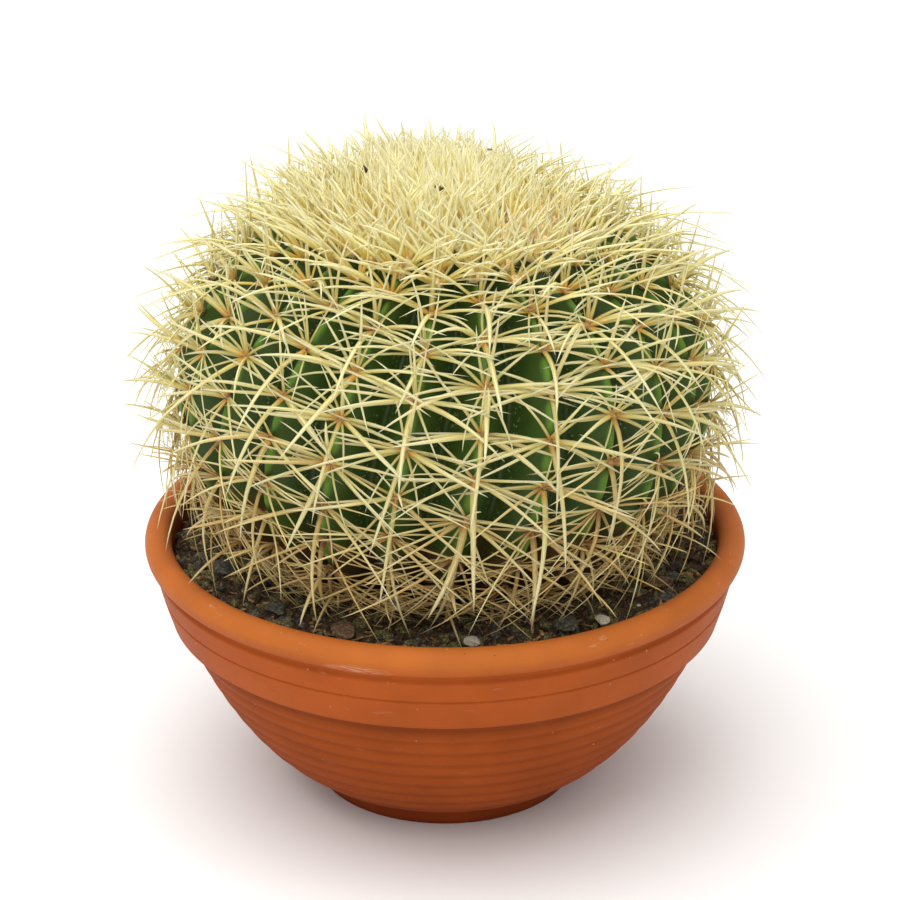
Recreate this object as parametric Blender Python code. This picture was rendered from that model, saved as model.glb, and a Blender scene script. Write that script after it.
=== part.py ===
"""Potted round cactus: a ribbed barrel cactus with its spine rows, in a low terracotta bowl of soil.

Metres, +Z up. The origin is at the bottom centre of the bowl's foot, on the bowl's axis.
"""

import math
import random

import bmesh
import bpy
from mathutils import Matrix, Vector, noise

GAP = 0.0003

# Bowl
BOWL_RADIUS = 0.140
BOWL_SEGMENTS = 48
FOOT_RADIUS = 0.0612
FOOT_HEIGHT = 0.008
FOOT_FLARE = 0.0016
FOOT_CHAMFER = 0.0008
BELLY_BOTTOM = (0.0672, 0.0098)
BELLY_CONTROL = (0.0998, 0.0268)
BELLY_TOP = (0.1242, 0.0848)
COLLAR_BOTTOM = (0.1292, 0.0878)
COLLAR_TOP = (0.1356, 0.1088)
COLLAR_LINE_DEPTH = 0.0007
COLLAR_LINE_WIDTH = 0.0016
NECK_DEPTH = 0.0013
NECK_WIDTH = 0.0036
BEAD_CENTRE = (0.1337, 0.1215)
BEAD_HALF_WIDTH = BOWL_RADIUS - BEAD_CENTRE[0]
BEAD_HALF_HEIGHT = 0.0080
WALL = 0.0085
FLOOR_THICKNESS = 0.010
DRAIN_RADIUS = 0.011

# Soil
SOIL_SEGMENTS = 48
SOIL_LEVEL = 0.1145
SOIL_RIPPLE = 0.0022
SOIL_MOUND = 0.0020
SOIL_RINGS = 5

# Stem: the crest line of a rib, as two half ovals that meet at the widest ring
RIBS = 24
RIB_ANGLE = 2.0 * math.pi / RIBS
STEM_RADIUS = 0.1226
STEM_WIDEST_Z = 0.1985
STEM_RISE = 0.0840
STEM_RISE_POWER = 2.4
STEM_DROP = 0.1008
CROWN_DIP = 0.0040
CROWN_DIP_RADIUS = 0.040
RIB_DEPTH = 0.0165
RIB_FULL_RADIUS = 0.100
RIB_VALLEY_POWER = 1.3
POINTS_PER_RIB = 4
STEM_RINGS_UP = 7
STEM_RINGS_DOWN = 6
TWIST_PER_METRE = 1.46
FIRST_RIB_AZIMUTH = math.radians(-84.4)
ROOT_RADIUS = 0.020
ROOT_TIP_RADIUS = 0.008
ROOT_TIP_Z = 0.058

# Spine rows
ROW_LIFT = 0.0008
ROW_START_RADIUS = 0.020
ROW_INNER_RADIUS = 0.0195
ROW_END_Z = 0.134
AREOLE_SPACING = 0.0262
AREOLE_LENGTH = 0.0054
AREOLE_WIDTH = 0.0048
AREOLE_HEIGHT = 0.0024
SECTOR_HALF_ANGLE = math.radians(6.3)
FELT_SECTOR_SHARE = 0.62
SPINE_ENVELOPE = 0.1535
RIM_CLEAR_Z = 0.1318
RIM_CLEAR_RADIUS = 0.1220
SOIL_CLEAR = 0.0045
GRIT_RING_RADIUS = 0.0960
GRIT_CLEAR = 0.0125

# Spines of an areole: tilt in degrees from the surface's normal towards the base, spread in degrees
# to the left, and length
SPINE_UP = (-38.0, 7.0, 0.0300)
SPINE_DOWN = (34.0, -3.0, 0.0400)
SPINE_LEFT = (8.0, 24.0, 0.0360)
SPINE_RIGHT = (4.0, -24.0, 0.0360)
RADIAL_LEFT = (-2.0, 50.0, 0.0230)
RADIAL_RIGHT = (-2.0, -50.0, 0.0230)

# Crown
WOOL_RIM_SHARE = 0.9
WOOL_RADIUS = 0.0150
WOOL_HEIGHT = 0.0060
WOOL_SEGMENTS = 12
CROWN_SPINE_TOP = 0.3000
CROWN_SPINE_SPREAD = 0.0080

TERRACOTTA = (0.52, 0.17, 0.07)
SOIL_BROWN = (0.035, 0.027, 0.020)
STEM_GREEN = (0.045, 0.115, 0.030)
SPINE_STRAW = (0.74, 0.60, 0.27)
WOOL_CREAM = (0.68, 0.52, 0.28)
BASALT_GREY = (0.10, 0.10, 0.105)
BARK_TAN = (0.26, 0.15, 0.075)
PERLITE_WHITE = (0.72, 0.70, 0.66)

# Loose pieces on the soil: name, azimuth in degrees, radius, length, width, height, colour
LOOSE_PIECES = (
    ("basalt_chip_01", 199.0, 0.1060, 0.0150, 0.0110, 0.0075, BASALT_GREY),
    ("basalt_chip_02", 226.0, 0.1090, 0.0120, 0.0095, 0.0070, BASALT_GREY),
    ("basalt_chip_03", 300.5, 0.1080, 0.0130, 0.0100, 0.0070, BASALT_GREY),
    ("basalt_chip_04", 41.0, 0.1070, 0.0140, 0.0105, 0.0075, BASALT_GREY),
    ("basalt_chip_05", 118.0, 0.1075, 0.0125, 0.0100, 0.0070, BASALT_GREY),
    ("bark_chip_01", 245.0, 0.1085, 0.0190, 0.0075, 0.0050, BARK_TAN),
    ("bark_chip_02", 333.0, 0.1090, 0.0170, 0.0070, 0.0050, BARK_TAN),
    ("bark_chip_03", 79.0, 0.1080, 0.0180, 0.0075, 0.0050, BARK_TAN),
    ("perlite_grain_01", 308.4, 0.1130, 0.0070, 0.0060, 0.0050, PERLITE_WHITE),
    ("perlite_grain_02", 276.5, 0.1100, 0.0080, 0.0060, 0.0050, PERLITE_WHITE),
)
LOOSE_SINK = 0.32


def clear_scene():
    for item in list(bpy.data.objects):
        bpy.data.objects.remove(item, do_unlink=True)


def make_material(name, colour, roughness):
    material = bpy.data.materials.new(name)
    material.use_nodes = True
    shader = material.node_tree.nodes["Principled BSDF"]
    shader.inputs["Base Color"].default_value = (*colour, 1.0)
    shader.inputs["Roughness"].default_value = roughness
    shader.inputs["Metallic"].default_value = 0.0
    return material


def add_object(name, shape, material, crease=math.radians(50.0)):
    bmesh.ops.recalc_face_normals(shape, faces=shape.faces)
    mesh = bpy.data.meshes.new(name)
    shape.to_mesh(mesh)
    shape.free()
    mesh.shade_smooth()
    mesh.set_sharp_from_angle(angle=crease)
    mesh.materials.append(material)
    item = bpy.data.objects.new(name, mesh)
    bpy.context.collection.objects.link(item)
    return item


def turned(outline, segments, closed):
    """Spin an outline of (radius, height) points round +Z; closed joins its last point to its first."""
    shape = bmesh.new()
    corners = [shape.verts.new((radius, 0.0, height)) for radius, height in outline]
    edges = [shape.edges.new(pair) for pair in zip(corners, corners[1:])]
    if closed:
        edges.append(shape.edges.new((corners[-1], corners[0])))
    bmesh.ops.spin(
        shape,
        geom=corners + edges,
        cent=(0.0, 0.0, 0.0),
        axis=(0.0, 0.0, 1.0),
        angle=2.0 * math.pi,
        steps=segments,
    )
    bmesh.ops.remove_doubles(shape, verts=shape.verts, dist=1e-6)
    return shape


def curve_point(start, control, end, share):
    """A point on the quadratic curve from start to end, bent towards control."""
    first, middle, last = (1.0 - share) ** 2, 2.0 * share * (1.0 - share), share**2
    return tuple(first * a + middle * b + last * c for a, b, c in zip(start, control, end))


def belly_curve(steps):
    return [
        curve_point(BELLY_BOTTOM, BELLY_CONTROL, BELLY_TOP, step / steps) for step in range(steps + 1)
    ]


def bead_arc(start_degrees, end_degrees, steps):
    """Points round the rim bead; 0 degrees is its outermost point and 90 its top."""
    points = []
    for step in range(steps + 1):
        angle = math.radians(start_degrees + (end_degrees - start_degrees) * step / steps)
        radius = BEAD_CENTRE[0] + BEAD_HALF_WIDTH * math.cos(angle)
        points.append((radius, BEAD_CENTRE[1] + BEAD_HALF_HEIGHT * math.sin(angle)))
    return points


def collar_points():
    """The collar's face from its rounded lower edge to the neck under the bead, with its thin line."""
    (low_radius, low_z), (top_radius, top_z) = COLLAR_BOTTOM, COLLAR_TOP
    line_radius, line_z = (low_radius + top_radius) / 2, (low_z + top_z) / 2
    half = COLLAR_LINE_WIDTH / 2
    slope = (top_radius - low_radius) / (top_z - low_z)
    return [
        (low_radius - 0.0012, low_z - 0.0010),
        (low_radius, low_z + 0.0006),
        (line_radius - slope * half, line_z - half),
        (line_radius - COLLAR_LINE_DEPTH, line_z),
        (line_radius + slope * half, line_z + half),
        (top_radius, top_z),
        (top_radius - NECK_DEPTH, top_z + NECK_WIDTH / 2),
    ]


def inner_wall():
    """The inside of the bowl, from under the bead down to the floor's edge."""
    (low_radius, low_z), (top_radius, top_z) = COLLAR_BOTTOM, COLLAR_TOP
    points = [(top_radius - WALL, top_z)]
    for radius, height in reversed(belly_curve(6)):
        if height > FLOOR_THICKNESS + WALL / 2:
            points.append((radius - WALL, height + WALL * 0.12))
    points.append((FOOT_RADIUS - WALL * 0.2, FLOOR_THICKNESS + 0.0012))
    points.append((FOOT_RADIUS - WALL, FLOOR_THICKNESS))
    return points


def bowl_outline():
    outline = [
        (DRAIN_RADIUS, 0.0),
        (FOOT_RADIUS - FOOT_CHAMFER, 0.0),
        (FOOT_RADIUS, FOOT_CHAMFER),
        (FOOT_RADIUS + FOOT_FLARE, FOOT_HEIGHT),
    ]
    outline += belly_curve(8)
    outline += collar_points()
    outline += bead_arc(-55.0, 200.0, 9)
    outline += inner_wall()
    outline.append((DRAIN_RADIUS, FLOOR_THICKNESS))
    return outline


def crest_point(share):
    """Radius and height of a rib's crest: share runs from -1 at the base to +1 at the crown."""
    angle = abs(share) * math.pi / 2
    radius = STEM_RADIUS * math.cos(angle)
    if share < 0:
        return radius, STEM_WIDEST_Z - STEM_DROP * math.sin(angle)
    height = STEM_WIDEST_Z + STEM_RISE * math.sin(angle) ** (2.0 / STEM_RISE_POWER)
    if radius < CROWN_DIP_RADIUS:
        height -= CROWN_DIP * (1.0 - (radius / CROWN_DIP_RADIUS) ** 2) ** 2
    return radius, height


def crest_radius(height):
    """Radius of the crest line at a height under the widest ring."""
    drop = min((STEM_WIDEST_Z - height) / STEM_DROP, 1.0)
    return STEM_RADIUS * math.sqrt(max(1.0 - drop**2, 0.0))


def twist(height):
    return TWIST_PER_METRE * (height - STEM_WIDEST_Z)


def rib_depth(radius):
    return RIB_DEPTH * min(radius / RIB_FULL_RADIUS, 1.0) ** 1.2


def stem_outline():
    outline = [(0.0, ROOT_TIP_Z), (ROOT_TIP_RADIUS, ROOT_TIP_Z + 0.002)]
    root_top = STEM_WIDEST_Z - STEM_DROP * math.sqrt(1.0 - (ROOT_RADIUS / STEM_RADIUS) ** 2)
    outline.append((ROOT_RADIUS, root_top))
    for step in range(1, STEM_RINGS_DOWN + 1):
        outline.append(crest_point(-0.90 + 0.90 * step / STEM_RINGS_DOWN))
    for step in range(1, STEM_RINGS_UP + 1):
        outline.append(crest_point(0.94 * step / STEM_RINGS_UP))
    outline.append((0.0, crest_point(1.0)[1]))
    return outline


def rib_stem(shape):
    """Sink the valleys between the crests and give the ribs their slight twist."""
    for vert in shape.verts:
        radius = math.hypot(vert.co.x, vert.co.y)
        if radius < ROOT_RADIUS + 0.001:
            continue
        azimuth = math.atan2(vert.co.y, vert.co.x)
        across = abs(azimuth / RIB_ANGLE - round(azimuth / RIB_ANGLE)) * 2.0
        sunk = radius - rib_depth(radius) * across**RIB_VALLEY_POWER
        azimuth += FIRST_RIB_AZIMUTH + twist(vert.co.z)
        vert.co.x = sunk * math.cos(azimuth)
        vert.co.y = sunk * math.sin(azimuth)


def soil_outline():
    """Up the bowl's inside, over the rough top, down the hollow round the plant's base."""
    floor = FLOOR_THICKNESS + GAP
    walls = [(radius - 2 * GAP, height + GAP) for radius, height in reversed(inner_wall())]
    lower = [point for point in walls if point[1] < SOIL_LEVEL - 0.006]
    top_z = SOIL_LEVEL - SOIL_RIPPLE
    wall_radius = COLLAR_TOP[0] - WALL - 0.0008
    outline = [(0.0, floor)] + lower + [(wall_radius - 0.0004, top_z)]
    hollow = crest_radius(SOIL_LEVEL) + 0.0012
    for ring in range(1, SOIL_RINGS):
        share = ring / SOIL_RINGS
        mound = SOIL_MOUND * share
        outline.append((wall_radius + (hollow - wall_radius) * share, SOIL_LEVEL + mound))
    for height in (SOIL_LEVEL, SOIL_LEVEL - 0.006, SOIL_LEVEL - 0.011):
        outline.append((crest_radius(height) + 0.0012, height))
    outline.append((ROOT_RADIUS + 0.006, STEM_WIDEST_Z - STEM_DROP - 0.0025))
    outline.append((ROOT_TIP_RADIUS + 0.0012, ROOT_TIP_Z - 0.0006))
    outline.append((0.0, ROOT_TIP_Z - 0.0006))
    return outline


def roughen_soil(shape):
    """Lumps on the open top of the soil, none at the wall or at the plant."""
    inner = crest_radius(SOIL_LEVEL) + 0.004
    outer = COLLAR_TOP[0] - WALL - 0.003
    for vert in shape.verts:
        radius = math.hypot(vert.co.x, vert.co.y)
        if vert.co.z >= SOIL_LEVEL and inner < radius < outer:
            vert.co.z += SOIL_RIPPLE * noise.noise(vert.co * 70.0)


def make_stations(start_share, end_share, offset):
    """Crest points along a rib a set distance apart, counted down from the crown."""
    stations = []
    travelled, wanted = 0.0, offset
    steps = 1200
    previous = Vector(crest_point(start_share))
    for step in range(1, steps + 1):
        share = start_share + (end_share - start_share) * step / steps
        point = Vector(crest_point(share))
        travelled += (point - previous).length
        previous = point
        if travelled >= wanted:
            stations.append(share)
            wanted += AREOLE_SPACING
    return stations


def crest_frame(share):
    """Crest point, outward normal and downward tangent, each as (radius, height)."""
    here = Vector(crest_point(share))
    down = Vector(crest_point(share - 0.004)) - Vector(crest_point(share + 0.004))
    down.normalize()
    outward = Vector((-down.y, down.x))
    return here, outward, down


def placed(radius, height, side, azimuth):
    """A point at a radius and height beside the rib whose crest is at azimuth, side metres to its left."""
    angle = azimuth + twist(height)
    along = Vector((math.cos(angle), math.sin(angle), 0.0))
    across = Vector((-math.sin(angle), math.cos(angle), 0.0))
    return along * radius + across * side + Vector((0.0, 0.0, height))


def section(share, shift, width, height, azimuth):
    """Four corners of the felt's cross-section, shift metres further down the crest."""
    here, outward, down = crest_frame(share)
    here = here + down * shift
    half = min(width / 2, here.x * math.tan(SECTOR_HALF_ANGLE) * FELT_SECTOR_SHARE)
    low = here + outward * ROW_LIFT
    high = here + outward * (ROW_LIFT + height)
    corners = ((low, -half), (low, half), (high, half * 0.8), (high, -half * 0.8))
    return [placed(point.x, point.y, side, azimuth) for point, side in corners]


def is_clear(radius, height):
    """True where a spine's tip is above the soil, inside or over the rim, and in the spines' envelope."""
    if radius > SPINE_ENVELOPE or height > CROWN_SPINE_TOP:
        return False
    if height < RIM_CLEAR_Z:
        over_soil = GRIT_CLEAR if radius > GRIT_RING_RADIUS else SOIL_CLEAR
        return radius < RIM_CLEAR_RADIUS and height > SOIL_LEVEL + over_soil
    return True


def spine_tip(share, azimuth, kind):
    tilt, spread, length = math.radians(kind[0]), math.radians(kind[1]), kind[2]
    here, outward, down = crest_frame(share)
    lean = outward * math.cos(tilt) + down * math.sin(tilt)
    while True:
        tip = here + lean * (length * math.cos(spread))
        if is_clear(tip.x, tip.y) or length < 0.004:
            break
        length *= 0.94
    tip.x = max(tip.x, ROW_INNER_RADIUS)
    limit = tip.x * math.tan(SECTOR_HALF_ANGLE)
    side = max(-limit, min(limit, length * math.sin(spread)))
    return placed(tip.x, tip.y, side, azimuth)


def grow_spine(shape, face, tip):
    """Draw a face out to a point."""
    grown = bmesh.ops.extrude_discrete_faces(shape, faces=[face])["faces"][0]
    bmesh.ops.pointmerge(shape, verts=list(grown.verts), merge_co=tip)


def nearest_face(faces, tip):
    return min(faces, key=lambda face: (face.calc_center_median() - tip).length)


def spine_row(azimuth, offset):
    """The felt along a rib's crest with its areoles, and the spines that grow from each."""
    start = math.acos(ROW_START_RADIUS / STEM_RADIUS) / (math.pi / 2)
    end = -math.asin((STEM_WIDEST_Z - ROW_END_Z) / STEM_DROP) / (math.pi / 2)
    stations = make_stations(start, end, offset)
    shape = bmesh.new()
    rings = []
    half = AREOLE_LENGTH / 2
    for share in stations:
        for shift in (-half, half):
            corners = section(share, shift, AREOLE_WIDTH, AREOLE_HEIGHT, azimuth)
            rings.append([shape.verts.new(corner) for corner in corners])
    areoles = []
    for index, (above, below) in enumerate(zip(rings, rings[1:])):
        sides = []
        for corner in range(4):
            following = (corner + 1) % 4
            quad = (above[corner], above[following], below[following], below[corner])
            sides.append(shape.faces.new(quad))
        if index % 2 == 0:
            areoles.append(sides)
    shape.faces.new(list(reversed(rings[0])))
    shape.faces.new(rings[-1])
    bmesh.ops.recalc_face_normals(shape, faces=shape.faces)
    for share, sides in zip(stations, areoles):
        grow_spine(shape, sides[1], spine_tip(share, azimuth, RADIAL_LEFT))
        grow_spine(shape, sides[3], spine_tip(share, azimuth, RADIAL_RIGHT))
        fan = bmesh.ops.poke(shape, faces=[sides[2]])["faces"]
        for kind in (SPINE_UP, SPINE_DOWN, SPINE_LEFT, SPINE_RIGHT):
            tip = spine_tip(share, azimuth, kind)
            face = nearest_face(fan, tip)
            fan.remove(face)
            grow_spine(shape, face, tip)
    return shape


def crown_wool():
    """A low dome of wool in the crown's dip, with the newest spines standing in it."""
    base = crest_point(WOOL_RIM_SHARE)[1] + 2 * GAP
    outline = [
        (0.0, base),
        (WOOL_RADIUS, base),
        (WOOL_RADIUS * 0.93, base + WOOL_HEIGHT * 0.45),
        (WOOL_RADIUS * 0.60, base + WOOL_HEIGHT * 0.85),
        (0.0, base + WOOL_HEIGHT),
    ]
    shape = turned(outline, WOOL_SEGMENTS, closed=False)
    bmesh.ops.recalc_face_normals(shape, faces=shape.faces)
    tops = [face for face in shape.faces if face.normal.z > 0.5]
    tops.sort(key=lambda face: math.atan2(face.calc_center_median().y, face.calc_center_median().x))
    generator = random.Random(7)
    for face in tops[::2]:
        middle = face.calc_center_median()
        top = CROWN_SPINE_TOP - generator.uniform(0.0, CROWN_SPINE_SPREAD)
        grow_spine(shape, face, Vector((middle.x, middle.y, top)))
    return shape


def loose_piece(azimuth_degrees, radius, size, seed):
    """An angular lump that lies on the soil with a flat underside."""
    generator = random.Random(seed)
    shape = bmesh.new()
    bmesh.ops.create_icosphere(shape, subdivisions=2, radius=0.5)
    offset = Vector((generator.uniform(0, 9), generator.uniform(0, 9), generator.uniform(0, 9)))
    for vert in shape.verts:
        rough = 1.0 + 0.22 * noise.noise(vert.co * 2.2 + offset)
        vert.co = Vector(a * b * rough for a, b in zip(vert.co, size))
    under = Vector((0.0, 0.0, (LOOSE_SINK - 0.5) * size[2]))
    cut = bmesh.ops.bisect_plane(
        shape,
        geom=shape.verts[:] + shape.edges[:] + shape.faces[:],
        plane_co=under,
        plane_no=(0.0, 0.0, 1.0),
        clear_inner=True,
    )
    rim = [item for item in cut["geom_cut"] if isinstance(item, bmesh.types.BMEdge)]
    bmesh.ops.contextual_create(shape, geom=rim)
    azimuth = math.radians(azimuth_degrees)
    rest = SOIL_LEVEL + SOIL_RIPPLE + SOIL_MOUND * 0.45 + GAP
    place = Vector((radius * math.cos(azimuth), radius * math.sin(azimuth), rest))
    turn = Matrix.Rotation(generator.uniform(0.0, math.pi), 4, "Z")
    shape.transform(Matrix.Translation(place) @ turn @ Matrix.Translation(-under))
    return shape


def build():
    clear_scene()
    terracotta = make_material("terracotta", TERRACOTTA, 0.62)
    add_object("terracotta_bowl", turned(bowl_outline(), BOWL_SEGMENTS, closed=True), terracotta)

    soil = turned(soil_outline(), SOIL_SEGMENTS, closed=False)
    roughen_soil(soil)
    add_object("potting_soil", soil, make_material("potting_soil", SOIL_BROWN, 0.95))

    stem = turned(stem_outline(), RIBS * POINTS_PER_RIB, closed=False)
    rib_stem(stem)
    add_object("cactus_stem", stem, make_material("cactus_skin", STEM_GREEN, 0.45))

    straw = make_material("spine", SPINE_STRAW, 0.5)
    for rib in range(RIBS):
        azimuth = FIRST_RIB_AZIMUTH + rib * RIB_ANGLE
        offset = AREOLE_SPACING * (0.10 if rib % 2 == 0 else 0.55)
        add_object(f"spine_row_{rib + 1:02d}", spine_row(azimuth, offset), straw)

    add_object("crown_wool", crown_wool(), make_material("areole_wool", WOOL_CREAM, 0.95))

    for index, (name, azimuth, radius, length, width, height, colour) in enumerate(LOOSE_PIECES):
        material = make_material(name, colour, 0.85)
        shape = loose_piece(azimuth, radius, (length, width, height), seed=40 + index)
        add_object(name, shape, material)


build()
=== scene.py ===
"""A round barrel cactus in a low terracotta bowl: the looks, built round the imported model.

The plant, the bowl and the soil are classes that build their own meshes and dress them. The spines, the
felt, the wool and the grit are made by Geometry Nodes. Lengths are in metres, and +Z is up.
"""

from __future__ import annotations

import logging
import math
import random
from collections.abc import Iterator
from dataclasses import dataclass, field, replace
from enum import Enum

import bmesh
import bpy
import numpy as np
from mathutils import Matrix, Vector, noise

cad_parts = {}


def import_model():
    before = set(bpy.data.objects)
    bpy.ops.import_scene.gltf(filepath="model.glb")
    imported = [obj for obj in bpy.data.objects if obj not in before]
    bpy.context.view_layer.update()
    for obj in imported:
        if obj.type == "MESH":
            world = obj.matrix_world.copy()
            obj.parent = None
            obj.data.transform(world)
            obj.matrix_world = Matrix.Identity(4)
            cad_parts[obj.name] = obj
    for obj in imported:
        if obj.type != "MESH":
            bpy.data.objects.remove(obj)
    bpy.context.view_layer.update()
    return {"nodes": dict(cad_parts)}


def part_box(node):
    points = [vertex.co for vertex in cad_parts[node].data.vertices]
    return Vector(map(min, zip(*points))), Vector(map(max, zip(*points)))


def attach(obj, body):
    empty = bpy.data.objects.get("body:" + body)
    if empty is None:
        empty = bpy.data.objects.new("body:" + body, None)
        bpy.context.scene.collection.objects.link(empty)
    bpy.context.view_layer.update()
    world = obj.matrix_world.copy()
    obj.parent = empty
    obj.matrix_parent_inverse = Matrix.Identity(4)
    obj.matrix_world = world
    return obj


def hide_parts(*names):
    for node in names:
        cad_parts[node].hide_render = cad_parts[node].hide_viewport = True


LOG = logging.getLogger("potted_cactus")
MM = 0.001
BODY = "root"
GOLDEN_TURN = math.pi * (3.0 - math.sqrt(5.0))

Socket = bpy.types.NodeSocket
Point = tuple[float, float]


# ---------------------------------------------------------------- small helpers


def linear(code: str) -> tuple[float, float, float, float]:
    """Turn an sRGB hex colour into linear red, green, blue and alpha.

    Args:
        code: six hex digits after a hash.

    Returns:
        The four linear channels.
    """
    parts = [int(code[index : index + 2], 16) / 255.0 for index in (1, 3, 5)]
    channels = [part / 12.92 if part <= 0.04045 else ((part + 0.055) / 1.055) ** 2.4 for part in parts]
    return (*channels, 1.0)


def share_of(value: float, start: float, length: float) -> float:
    """How far a value has come along a stretch, from 0 to 1."""
    return min(1.0, max(0.0, (value - start) / length))


def eased(share: float) -> float:
    """A share that starts and ends softly."""
    return share * share * (3.0 - 2.0 * share)


def sunflower(count: int, radius: float) -> Iterator[tuple[float, float]]:
    """Spread places evenly over a disc, as the seeds of a sunflower are.

    Args:
        count: how many places.
        radius: the disc's radius.

    Returns:
        The distance from the middle and the angle of each place.
    """
    for index in range(count):
        yield radius * math.sqrt((index + 0.5) / count), index * GOLDEN_TURN


def set_inputs(tree: bpy.types.NodeTree, target: bpy.types.Node, inputs: dict) -> None:
    """Give a node its inputs: each is a value, or the output socket that feeds it."""
    for key, value in inputs.items():
        if isinstance(value, Socket):
            tree.links.new(value, target.inputs[key])
        else:
            target.inputs[key].default_value = value


def add_node(tree: bpy.types.NodeTree, kind: str, inputs: dict | None = None, **settings) -> bpy.types.Node:
    """Add a node with its settings, its values and its links.

    Args:
        tree: the node tree.
        kind: the node's type.
        inputs: socket name or number to a value, or to the output socket that feeds it.
        settings: the node's own properties.

    Returns:
        The new node.
    """
    made = tree.nodes.new(kind)
    for name, value in settings.items():
        setattr(made, name, value)
    set_inputs(tree, made, inputs or {})
    return made


def link_object(name: str, mesh: bpy.types.Mesh, material: bpy.types.Material | None) -> bpy.types.Object:
    """Put a mesh in the scene, at the origin.

    Args:
        name: the object's name.
        mesh: its mesh.
        material: what it is made of, or None where the mesh has it.

    Returns:
        The new object.
    """
    if material is not None:
        mesh.materials.append(material)
        mesh.shade_smooth()
    item = bpy.data.objects.new(name, mesh)
    bpy.context.scene.collection.objects.link(item)
    return item


def mesh_object(
    name: str, vertices: np.ndarray, faces: list, material: bpy.types.Material
) -> bpy.types.Object:
    """Make a smooth mesh object from vertices and faces."""
    mesh = bpy.data.meshes.new(name)
    mesh.from_pydata([tuple(point) for point in vertices], [], faces)
    return link_object(name, mesh, material)


def add_floats(item: bpy.types.Object, name: str, values: list[float]) -> None:
    """Store one number for each vertex as an attribute."""
    flat = np.asarray(values, np.float32)
    item.data.attributes.new(name, "FLOAT", "POINT").data.foreach_set("value", flat)


def add_vectors(item: bpy.types.Object, name: str, values: list) -> None:
    """Store one vector for each vertex as an attribute."""
    flat = np.asarray(values, np.float32).ravel()
    item.data.attributes.new(name, "FLOAT_VECTOR", "POINT").data.foreach_set("vector", flat)


def ring_points(
    radius: float, height: float, columns: int, turn: float = 0.0
) -> list[tuple[float, float, float]]:
    """Points round the axis at one height, the first of them at the given turn."""
    angles = [turn + 2.0 * math.pi * column / columns for column in range(columns)]
    return [(radius * math.cos(angle), radius * math.sin(angle), height) for angle in angles]


def band(first: int, second: int, columns: int) -> list[tuple[int, int, int, int]]:
    """Quads between two rings of vertices, which start at the given numbers."""
    besides = [(column, (column + 1) % columns) for column in range(columns)]
    return [(first + here, first + beside, second + beside, second + here) for here, beside in besides]


def fan(first: int, tip: int, columns: int) -> list[tuple[int, int, int]]:
    """Triangles from a ring of vertices to one tip."""
    return [(first + column, first + (column + 1) % columns, tip) for column in range(columns)]


def lathe_faces(rings: int, columns: int, closed: bool) -> list[tuple[int, int, int, int]]:
    """Quads between rings of vertices; closed joins the last ring to the first."""
    faces = []
    for ring in range(rings if closed else rings - 1):
        faces += band(ring * columns, (ring + 1) % rings * columns, columns)
    return faces


def face_outwards(item: bpy.types.Object) -> None:
    """Turn a closed mesh's faces outwards."""
    shape = bmesh.new()
    shape.from_mesh(item.data)
    bmesh.ops.recalc_face_normals(shape, faces=shape.faces)
    shape.to_mesh(item.data)
    shape.free()


def finish_piece(item: bpy.types.Object, slot: str, *nodes: str) -> bpy.types.Object:
    """Ride a piece on the body, and hide the imported nodes that it stands for.

    Args:
        item: the piece.
        slot: not used.
        nodes: the nodes that it stands for.

    Returns:
        The same piece.
    """
    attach(item, BODY)
    if nodes:
        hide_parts(*nodes)
    LOG.info("%s: %d faces", item.name, len(item.data.polygons))
    return item


# ---------------------------------------------------------------- node trees


@dataclass
class NodeWork:
    """A node tree in the making."""

    name: str
    tree: bpy.types.NodeTree = field(init=False)

    def node(self, kind: str, inputs: dict | None = None, **settings) -> bpy.types.Node:
        """Add a node to the tree."""
        return add_node(self.tree, kind, inputs, **settings)

    def math(
        self, operation: str, first: Socket | float, second: Socket | float = 0.0, third: Socket | float = 0.0
    ) -> Socket:
        """One step of arithmetic."""
        return self.node("ShaderNodeMath", {0: first, 1: second, 2: third}, operation=operation).outputs[0]


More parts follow.
